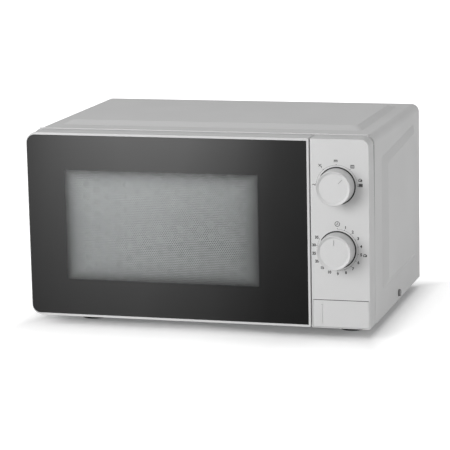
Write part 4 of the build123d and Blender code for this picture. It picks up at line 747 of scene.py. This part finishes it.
class OVEN_OT_screen(bpy.types.Operator):
    """Perforate the fine screen behind the door's window"""

    bl_idname = "oven.screen"
    bl_label = "Window screen"

    def execute(self, context):
        window = context.scene.oven_window
        low, high = window_corners(window)
        reach = window.screen_reach
        field = (low.x - reach, low.z - reach, high.x + reach, high.z + reach)
        shape = self.perforated(window, field)
        self.border(shape, field, window.screen_border)
        face = DOOR_GLASS[1].y + window.screen_depth
        bmesh.ops.translate(shape, verts=shape.verts, vec=(0, face, 0))
        bmesh.ops.solidify(shape, geom=shape.faces[:], thickness=-window.screen_thickness)
        bmesh.ops.recalc_face_normals(shape, faces=shape.faces)
        coat = Finish("screen_coat", context.scene.oven_colours.screen, 0.5)
        coat.mottled(coat.noise(18.0), 0.04).worn(coat.noise(5.0), 0.42, 0.58)
        axes = coat.node("ShaderNodeSeparateXYZ", in0=coat.coords)
        across = coat.segments(axes.outputs["X"], SCREEN_PAINTED_SHADE_ACROSS)
        up = coat.segments(axes.outputs["Z"], SCREEN_PAINTED_SHADE_UP)
        # Painted shade: the screen is darkened towards its right and its foot, and lifted a
        # little at its head.
        coat.toned(coat.math("MULTIPLY", across, up))
        placed_piece("window_screen", shape, coat, "door")
        return {"FINISHED"}

    def perforated(self, window, field):
        """A sheet of hexagonal holes in the plane y = 0, cut square to the field."""
        pitch = window.screen_pitch
        row = pitch * math.sqrt(3) / 2
        cell = self.cell(pitch, pitch / 2 - window.screen_web)
        pair = bmesh.ops.duplicate(cell, geom=whole(cell))["geom"]
        bmesh.ops.translate(cell, verts=vertices(pair), vec=(pitch / 2, 0, row))
        left, foot, right, head = field
        bmesh.ops.translate(cell, verts=cell.verts, vec=(left, 0, foot))
        tile = stood("screen_cell", settled("screen_cell", cell))
        for step, reach in (((pitch, 0, 0), right - left), ((0, 0, 2 * row), head - foot)):
            array = tile.modifiers.new("repeat", "ARRAY")
            array.use_relative_offset = False
            array.use_constant_offset = True
            array.constant_offset_displace = step
            array.count = math.ceil(reach / sum(step)) + 1
            array.use_merge_vertices = True
            array.merge_threshold = MERGE
        evaluated = tile.evaluated_get(bpy.context.evaluated_depsgraph_get())
        shape = bmesh.new()
        shape.from_mesh(evaluated.to_mesh())
        bpy.data.objects.remove(tile)
        bmesh.ops.remove_doubles(shape, verts=shape.verts, dist=MERGE)
        for point, away in (
            ((left, 0, 0), (-1, 0, 0)),
            ((right, 0, 0), (1, 0, 0)),
            ((0, 0, foot), (0, 0, -1)),
            ((0, 0, head), (0, 0, 1)),
        ):
            bmesh.ops.bisect_plane(
                shape, geom=whole(shape), plane_co=point, plane_no=away, clear_outer=True
            )
        return shape

    def cell(self, pitch, half):
        """One six-sided hole of that half width, with the three webs to its next holes."""
        cell = bmesh.new()
        bmesh.ops.create_circle(cell, segments=6, radius=half / math.cos(math.pi / 6))
        bmesh.ops.rotate(cell, verts=cell.verts, matrix=turned(90, "X"))
        ends = {}
        for turn in (0, 60, 120):
            away = Vector((math.cos(math.radians(turn)), 0, math.sin(math.radians(turn))))
            side = max(
                (e for e in cell.edges if not e.link_faces),
                key=lambda e: (e.verts[0].co + e.verts[1].co).dot(away) - e.calc_length(),
            )
            near = side.verts[:]
            far = vertices(bmesh.ops.extrude_edge_only(cell, edges=[side])["geom"])
            bmesh.ops.translate(cell, verts=far, vec=away * (pitch - 2 * half))
            for inner in near:
                outer = min(far, key=lambda v: (v.co - inner.co).length)
                if tuple(inner.co) in ends:
                    cell.faces.new((inner, outer, ends[tuple(inner.co)]))
                ends[tuple(inner.co)] = outer
        return cell

    def border(self, shape, field, width):
        """A plain strip round the field, in the same plane."""
        left, foot, right, head = field
        reach = Matrix.Diagonal(((right - left) / 2 + width, (head - foot) / 2 + width, 1, 1))
        place = Matrix.Translation(((left + right) / 2, 0, (foot + head) / 2))
        sheet = bmesh.ops.create_grid(
            shape, x_segments=1, y_segments=1, size=1.0, matrix=place @ turned(90, "X") @ reach
        )["verts"]
        face = next(iter(sheet[0].link_faces))
        bmesh.ops.inset_individual(shape, faces=[face], thickness=width)
        bmesh.ops.delete(shape, geom=[face], context="FACES_ONLY")


# ---- marks round the knobs ----

INK_GAP = 0.1  # share of the ink's thickness that stays clear of the panel
FIGURE_SHARE = 0.72  # a figure's height by its type size
SEAM_SHADE_WIDTHS = 3  # the whole of a knob's painted shade ring, by the part of it that is seen


class DialPrint:
    """Gathers the flat marks round one knob and makes them a piece."""

    def __init__(self, knob, settings):
        low, high = knob
        self.centre = (low + high) / 2
        self.face = PANEL[0].y
        self.settings = settings
        self.shape = bmesh.new()

    def at(self, turn, radius):
        """A point turn degrees clockwise from the top, at a radius from the knob's axis."""
        a = math.radians(turn)
        across, up = radius * math.sin(a), radius * math.cos(a)
        return Vector((self.centre.x + across, self.face, self.centre.z + up))

    def stroke(self, place, length, width, turn=0.0):
        """An upright stroke, turned clockwise."""
        thick = self.settings.thickness
        verts = add_box(
            self.shape,
            (-width / 2, -thick, -length / 2),
            (width / 2, -INK_GAP * thick, length / 2),
        )
        matrix = Matrix.Translation(place) @ turned(turn, "Y")
        bmesh.ops.transform(self.shape, matrix=matrix, verts=verts)
        self.hold()

    def arc(self, centre, radius, width, start, end, steps):
        """Part of a flat ring, from start to end in degrees clockwise from the top."""
        thick = self.settings.thickness
        faces = (-thick, -INK_GAP * thick)
        low, high = radius - width / 2, radius + width / 2
        corners = ((faces[0], low), (faces[0], high), (faces[1], high), (faces[1], low))
        section = self.shape.faces.new([self.shape.verts.new((0, *at)) for at in corners])
        bmesh.ops.rotate(self.shape, verts=section.verts, matrix=turned(start, "Y"))
        bmesh.ops.spin(
            self.shape,
            geom=[section],
            cent=(0, 0, 0),
            axis=(0, 1, 0),
            angle=math.radians(end - start),
            steps=steps,
            use_merge=end - start >= 360,
        )
        fresh = [v for v in self.shape.verts if not v.tag]
        bmesh.ops.translate(self.shape, verts=fresh, vec=centre)
        self.hold()

    def hold(self):
        """Marks what is drawn as being in its place."""
        for v in self.shape.verts:
            v.tag = True

    def words(self, text, place, height):
        """Raised figures, standing upright with their middle at place."""
        curve = bpy.data.curves.new("figure", "FONT")
        curve.body = text
        curve.size = height / FIGURE_SHARE
        curve.resolution_u = 3
        curve.extrude = self.settings.thickness * (1 - INK_GAP) / 2
        curve.offset = height * self.settings.digit_weight
        holder = stood("figure", curve)
        mesh = bpy.data.meshes.new_from_object(
            holder.evaluated_get(bpy.context.evaluated_depsgraph_get())
        )
        bpy.data.objects.remove(holder)
        bpy.data.curves.remove(curve)
        known = len(self.shape.verts)
        self.shape.from_mesh(mesh)
        bpy.data.meshes.remove(mesh)
        self.shape.verts.ensure_lookup_table()
        fresh = self.shape.verts[known:]
        low = Vector([min(v.co[k] for v in fresh) for k in range(3)])
        high = Vector([max(v.co[k] for v in fresh) for k in range(3)])
        bmesh.ops.translate(self.shape, verts=fresh, vec=-(low + high) / 2)
        bmesh.ops.rotate(self.shape, verts=fresh, matrix=turned(90, "X"))
        lift = Vector((0, -self.settings.thickness * (1 + INK_GAP) / 2, 0))
        bmesh.ops.translate(self.shape, verts=fresh, vec=Vector(place) + lift)
        self.hold()

    def finish(self, name, ink):
        bmesh.ops.remove_doubles(self.shape, verts=self.shape.verts, dist=0.0005 * MM)
        bmesh.ops.recalc_face_normals(self.shape, faces=self.shape.faces)
        placed_piece(name, self.shape, ink, "cabinet")


class OVEN_OT_knob_seams(bpy.types.Operator):
    """Set the painted shade round the foot of each knob: a dark ring on the panel standing in
    for the shade in the seam under the knob
    """

    bl_idname = "oven.knob_seams"
    bl_label = "Knob seams"

    def execute(self, context):
        settings = context.scene.oven_print
        # Painted shade: a dark ring on the panel round each knob's foot.
        shade = Finish("knob_seam", grey(52), 0.8, Specular_IOR_Level=0.1)
        shade.mottled(shade.noise(0.8), 0.1)
        for name, knob in (("power_seam", POWER_KNOB), ("timer_seam", TIMER_KNOB)):
            dial = DialPrint(knob, settings)
            reach = (knob[1].x - knob[0].x) / 2 + settings.seam
            width = SEAM_SHADE_WIDTHS * settings.seam
            dial.arc(dial.at(0, 0), reach - width / 2, width, 0, 360, 96)
            dial.finish(name, shade)
        return {"FINISHED"}


class OVEN_OT_button_line(bpy.types.Operator):
    """Ink the thin raised line on the door button"""

    bl_idname = "oven.button_line"
    bl_label = "Button line"

    def execute(self, context):
        settings = context.scene.oven_print
        low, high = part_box("open_button")
        paint = Finish("line_ink", grey(112), 0.6, Specular_IOR_Level=0.2)
        paint.mottled(paint.noise(0.6), 0.08)
        middle = PANEL[0].x + settings.line_inset
        shape = bmesh.new()
        add_box(
            shape,
            (middle - LINE_SIDES[0], low.y + LINE_FACES[0], low.z + LINE_END),
            (middle + LINE_SIDES[1], low.y + LINE_FACES[1], high.z - LINE_END),
        )
        placed_piece("button_line", shape, paint, "button")
        return {"FINISHED"}


class OVEN_OT_knob_marks(bpy.types.Operator):
    """Colour the line sunk into the face of each knob"""

    bl_idname = "oven.knob_marks"
    bl_label = "Knob marks"

    def execute(self, context):
        settings = context.scene.oven_print
        paint = Finish("mark_paint", grey(138), 0.6, Specular_IOR_Level=0.2)
        paint.mottled(paint.noise(0.6), 0.08)
        for name, knob, turn in (("power", POWER_KNOB, 45), ("timer", TIMER_KNOB, 0)):
            low, high = knob
            half, start = settings.mark_width / 2, settings.mark_start
            shape = bmesh.new()
            add_box(
                shape, (-half, 0.0, start), (half, MARK_THICKNESS, start + settings.mark_length)
            )
            centre = (low + high) / 2
            place = Matrix.Translation((centre.x, low.y + settings.mark_depth, centre.z))
            bmesh.ops.transform(shape, matrix=place @ turned(turn, "Y"), verts=shape.verts)
            placed_piece(name + "_mark", shape, paint, name + "_control")
        return {"FINISHED"}


def fence(length, *places):
    """Upright strokes of one length, side by side."""
    return [(place, 0, length, 0) for place in places]


# Strokes of an icon as across, up, length and turn, in millimetres and degrees. Each icon of
# the power scale stands at a turn and a radius, from the gentlest setting to the strongest.
POWER_ICONS = (
    (-88, 28.8, ((-1.8, 0.3, 1.9, 55), (-0.4, 0.0, 1.7, 125), (1.0, 0.1, 2.3, 40),
                 (2.2, 0.8, 1.2, 90))),
    (-40, 32.6, ((-1.2, 1.2, 3.0, -40), (0.2, 0.0, 3.4, -40), (-1.4, -0.4, 1.6, 50),
                 (0.9, 1.6, 1.8, 50), (1.6, -1.6, 2.4, 5))),
    (-2, 31.4, (*fence(2.7, -1.9, -0.6, 0.7, 2.0), (0, 1.2, 4.2, 90))),
    (39, 31.9, (*fence(3.8, -2.1, -0.7, 0.7, 2.1), (0, 1.8, 4.6, 90), (0, -1.8, 4.6, 90))),
    (87, 30.3, (*fence(4.0, -2.2, -1.3, -0.4, 0.5, 1.4, 2.2),
                (0, -1.8, 4.8, 90), (0, 0.4, 4.8, 90))),
)
DISH_ICON = (
    (-2.2, -0.2, 2.0, 0), (-1.5, 1.2, 1.6, 40), (-0.1, 1.7, 1.9, 90), (1.2, 1.2, 1.6, -40),
    (1.9, -0.2, 2.0, 0), (-0.2, -1.2, 4.6, 90), (0.4, -0.4, 2.4, 90), (1.2, 0.3, 1.5, 90),
)
CLOCK_HANDS = ((0, 0.8, 1.8, 0), (0.6, -0.3, 1.6, 125), (-1.0, -0.9, 1.2, 45))
POWER_DISH = (75.5, 31.0 * MM)
POWER_TURNS = (-90, -40, -1, 39, 90)
TIMER_STEP = 20  # degrees from one number to the next
TIMER_FIGURES = (*range(1, 11), 15, 20, 25, 30, 35)
CLOCK_RADIUS = 3.0 * MM
CLOCK_SHIFT = 2.3 * MM  # outwards from the labels' ring
TIMER_DISH_TURN, TIMER_DISH_SHIFT = 100, 5.2 * MM


class OVEN_OT_panel_print(bpy.types.Operator):
    """Print the scales round the two knobs"""

    bl_idname = "oven.panel_print"
    bl_label = "Panel print"

    def execute(self, context):
        settings = context.scene.oven_print
        ink = Finish("panel_ink", context.scene.oven_colours.print, 0.5)
        ink.mottled(ink.noise(0.6), 0.08)
        self.power(settings, ink)
        self.timer(settings, ink)
        return {"FINISHED"}

    def scale(self, dial, settings, turns):
        """The fine line with its strokes."""
        start, end = turns[0], turns[-1]
        steps = int((end - start) / 5)
        dial.arc(dial.at(0, 0), settings.arc_radius, settings.arc_width, start, end, steps)
        radius = settings.arc_radius + settings.tick_length / 2
        for turn in turns:
            place = dial.at(turn, radius)
            dial.stroke(place, settings.tick_length, settings.tick_width, turn)

    def power(self, settings, ink):
        dial = DialPrint(POWER_KNOB, settings)
        self.scale(dial, settings, POWER_TURNS)
        for turn, away, strokes in POWER_ICONS:
            self.icon(dial, dial.at(turn, away * MM), strokes)
        self.icon(dial, dial.at(*POWER_DISH), DISH_ICON)
        dial.finish("power_print", ink)

    def timer(self, settings, ink):
        dial = DialPrint(TIMER_KNOB, settings)
        radius = settings.label_radius
        turns = range(0, TIMER_STEP * len(TIMER_FIGURES) + 1, TIMER_STEP)
        self.scale(dial, settings, turns)
        for turn, figure in zip(turns[1:], TIMER_FIGURES):
            dial.words(str(figure), dial.at(turn, radius), settings.digit_height)
        clock = dial.at(0, radius + CLOCK_SHIFT)
        dial.arc(clock, CLOCK_RADIUS, settings.line, 0, 360, 24)
        self.icon(dial, clock, CLOCK_HANDS)
        self.icon(dial, dial.at(TIMER_DISH_TURN, radius + TIMER_DISH_SHIFT), DISH_ICON)
        dial.finish("timer_print", ink)

    def icon(self, dial, centre, strokes):
        for across, up, length, turn in strokes:
            place = centre + Vector((across * MM, 0, up * MM))
            dial.stroke(place, length * MM, dial.settings.line, turn)


# ---- inner parts ----


class OVEN_OT_cooking_space(bpy.types.Operator):
    """Finish the cooking space with its tray, mica cover, lamp and window film"""

    bl_idname = "oven.cooking_space"
    bl_label = "Cooking space"

    def execute(self, context):
        enamel = Finish("cavity_enamel", context.scene.oven_colours.enamel, 0.38)
        enamel.mottled(enamel.noise(0.9, 4.0), 0.06, start=0.42, end=0.5)
        enamel.worn(enamel.noise(30.0), 0.32, 0.44)
        enamel.raised(enamel.noise(1.4), 0.02)
        dress(enamel, "cavity", "front_plate")
        mica = Finish("mica", (0.45, 0.36, 0.24), 0.5, Sheen_Weight=0.1)
        mica.mottled(mica.noise(6.0, 5.0, (1, 1, 2.5)), 0.22).worn(mica.noise(3.0), 0.35, 0.6)
        mica.raised(mica.cells(4.0, "Distance"), 0.03)
        dress(mica, "waveguide_cover")
        self.tray()
        lamp_glass = pane_finish("lamp_glass", (1.0, 0.96, 0.86), 0.35, 0.12)
        dress(lamp_glass, "oven_lamp")
        film = pane_finish("clear_film", (0.97, 0.98, 0.98), 0.16, 0.06)
        dress(film, "inner_window")
        return {"FINISHED"}

    def tray(self):
        glass = pane_finish("tray_glass", (0.86, 0.93, 0.91), 0.3, 0.03)
        low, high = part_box("glass_tray")
        centre = (low + high) / 2
        rings = glass.node("ShaderNodeTexWave", wave_type="RINGS", rings_direction="Z")
        shift = glass.node("ShaderNodeMapping", in0=glass.coords)
        shift.inputs["Location"].default_value = (-centre.x, -centre.y, -centre.z)
        glass.feed(rings.inputs["Vector"], shift.outputs[0])
        rings.inputs["Scale"].default_value = TRAY_RINGS
        glass.raised(rings.outputs["Fac"], 0.15)
        dress(glass, "glass_tray")


TRAY_RINGS = 28.0  # scale of the faint rings in the tray's glass


def pane_finish(name, tint, body, roughness):
    """A clear solid: part tinted surface, part see-through."""
    glass = Finish(name, tint, roughness, IOR=1.5)
    glass.worn(glass.noise(20.0), roughness, roughness + 0.05)
    clear = glass.node("ShaderNodeBsdfTransparent", in0=(*tint, 1))
    haze = glass.graded(glass.noise(35.0), body * 0.85, body * 1.15)
    glass.surface(glass.mixed(haze, clear.outputs[0], glass.shader.outputs[0]))
    return glass


# Each spring's node, body, joint, axis, fixed end in metres, and share of its length that is
# left at the joint's limit.
SPRINGS = (
    ("hook_spring", "door", "hook_slide", (0, 0, 1), 0.0818, 26.0 / 29.0),
    ("button_spring", "cabinet", "button_press", (0, 1, 0), -0.13325, 8.8 / 13.8),
)


class OVEN_OT_steelwork(bpy.types.Operator):
    """Finish the zinc-coated sheet, the door's steel and the bright parts"""

    bl_idname = "oven.steelwork"
    bl_label = "Steelwork"

    def execute(self, context):
        zinc = Finish("zinc_steel", grey(196, -1), 0.42, 0.85)
        zinc.mottled(zinc.cells(9.0), 0.14, start=0.0, end=1.0)
        zinc.worn(zinc.cells(9.0, "Distance"), 0.34, 0.52, 0.0, 1.0)
        zinc.raised(zinc.noise(2.0), 0.01)
        dress(
            zinc, "base_plate", "rear_panel", "upper_hinge_bracket", "lower_hinge_bracket",
            "hinge_pins", "waveguide", "timer_plate", "capacitor_clamp", "magnetron_yoke",
            "lamp_socket",
        )
        dull = Finish("dull_screw", grey(120), 0.5, 0.6)
        dull.mottled(dull.noise(1.0), 0.2).worn(dull.noise(0.8), 0.44, 0.6)
        dress(dull, "side_screws")
        coat = Finish("door_steel", grey(46), 0.46, 0.1)
        coat.mottled(coat.noise(3.0, 4.0), 0.12).worn(coat.noise(9.0), 0.4, 0.55)
        coat.raised(coat.noise(0.8), 0.012)
        dress(coat, "door_panel")
        bright = Finish("bright_steel", grey(214), 0.22, 1.0)
        bright.mottled(bright.noise(1.2, 3.0, (1, 6, 1)), 0.06)
        bright.worn(bright.noise(0.7, 2.0, (1, 8, 1)), 0.16, 0.32)
        dress(
            bright, "rear_screws", "lever_pin", "hook_spring", "button_spring", "motor_shaft",
            "power_shaft", "timer_shaft", "fan_shaft", "timer_bell", "turntable_motor",
        )
        for spring in SPRINGS:
            self.spring(bright, *spring)
        return {"FINISHED"}

    def spring(self, finish, name, body, joint, axis, end, keep):
        """A copy of a packed spring, which rides its body in place of the hidden packed spring.
        """
        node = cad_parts[name]
        coil = bmesh.new()
        coil.from_mesh(node.data)
        bmesh.ops.transform(coil, matrix=node.matrix_world, verts=coil.verts)
        bmesh.ops.remove_doubles(coil, verts=coil.verts, dist=0.001 * MM)
        made = placed_piece(name + "_coil", coil, finish, body)
        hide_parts(name)
        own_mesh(made)


class OVEN_OT_mouldings(bpy.types.Operator):
    """Finish the black and white mouldings and the rubber feet"""

    bl_idname = "oven.mouldings"
    bl_label = "Mouldings"

    def execute(self, context):
        black = Finish("black_plastic", grey(38), 0.52)
        black.mottled(black.noise(8.0), 0.1).worn(black.noise(2.0), 0.46, 0.6)
        black.raised(black.cells(0.6, "Distance"), 0.02)
        dress(
            black, "choke_cover", "cord_inlet", "latch_board", "microswitches",
            "magnetron_filter_box", "fan_shroud", "thermal_cutouts", "hv_diode",
        )
        rubber = Finish("foot_rubber", grey(34), 0.82)
        rubber.mottled(rubber.noise(1.5, 4.0), 0.14).worn(rubber.noise(4.0), 0.74, 0.9)
        rubber.raised(rubber.noise(0.4), 0.02)
        dress(rubber, "feet")
        white = Finish("white_plastic", grey(226, 2), 0.45)
        white.mottled(white.noise(10.0), 0.02).worn(white.noise(3.0), 0.38, 0.5)
        white.raised(white.noise(0.7), 0.008)
        dress(
            white, "door_hook", "open_lever", "roller_ring", "roller_rear", "roller_left",
            "roller_right", "drive_coupler", "fan_blade", "power_selector", "timer_unit",
        )
        return {"FINISHED"}


class OVEN_OT_electrics(bpy.types.Operator):
    """Finish the transformer, magnetron, capacitor, fan motor and filter board"""

    bl_idname = "oven.electrics"
    bl_label = "Electrics"

    def execute(self, context):
        copper = Finish("copper", (0.48, 0.2, 0.09), 0.3, 0.75)
        copper.mottled(copper.noise(9.0), 0.12).worn(copper.noise(2.0), 0.24, 0.38)
        copper.raised(copper.bands(1.4, "Z"), 0.35)
        dress(copper, "transformer_windings")
        core = Finish("core_steel", grey(92), 0.5, 0.6)
        core.mottled(core.bands(0.7, "Y"), 0.16, start=0.0, end=1.0)
        core.worn(core.noise(6.0), 0.42, 0.6).raised(core.bands(0.7, "Y"), 0.05)
        dress(core, "transformer_core", "fan_motor")
        metal = Finish("aluminium", grey(205), 0.36, 0.95)
        metal.mottled(metal.noise(3.0, 3.0, (1, 1, 5)), 0.05)
        metal.worn(metal.noise(1.0, 2.0, (1, 1, 6)), 0.3, 0.44)
        dress(metal, "magnetron_core", "capacitor")
        board = Finish("circuit_board", (0.035, 0.13, 0.05), 0.4)
        board.mottled(board.cells(4.0, "Distance", "CHEBYCHEV"), 0.35, (0.06, 0.2, 0.08))
        board.raised(board.cells(4.0, "Distance", "CHEBYCHEV"), 0.05)
        dress(board, "filter_board")
        return {"FINISHED"}


OPERATORS = (
    OVEN_OT_camera,
    OVEN_OT_stage,
    OVEN_OT_cabinet,
    OVEN_OT_front,
    OVEN_OT_glass,
    OVEN_OT_screen,
    OVEN_OT_panel_print,
    OVEN_OT_knob_seams,
    OVEN_OT_knob_marks,
    OVEN_OT_button_line,
    OVEN_OT_cooking_space,
    OVEN_OT_steelwork,
    OVEN_OT_mouldings,
    OVEN_OT_electrics,
)
SETTINGS = {
    "oven_colours": OvenColours,
    "oven_window": OvenWindow,
    "oven_print": OvenPrint,
    "oven_shape": OvenShape,
    "oven_stage": OvenStage,
}


class OVEN_PT_sidebar(bpy.types.Panel):
    """Lists the oven's settings and the steps that dress it"""

    bl_label = "Microwave oven"
    bl_idname = "OVEN_PT_sidebar"
    bl_space_type = "VIEW_3D"
    bl_region_type = "UI"
    bl_category = "Oven"

    def draw(self, context):
        for name, group in SETTINGS.items():
            column = self.layout.column(align=True)
            for key in group.__annotations__:
                column.prop(getattr(context.scene, name), key)
        for operator in OPERATORS:
            self.layout.operator(operator.bl_idname)


CLASSES = (*SETTINGS.values(), *OPERATORS, OVEN_PT_sidebar)


def register():
    for kind in CLASSES:
        bpy.utils.register_class(kind)
    for name, group in SETTINGS.items():
        setattr(bpy.types.Scene, name, PointerProperty(type=group))


def unregister():
    for name in SETTINGS:
        delattr(bpy.types.Scene, name)
    for kind in reversed(CLASSES):
        bpy.utils.unregister_class(kind)


def main():
    """Dresses the oven step by step."""
    register()
    for operator in OPERATORS:
        group, step = operator.bl_idname.split(".")
        getattr(getattr(bpy.ops, group), step)()


if __name__ == "__main__":
    main()
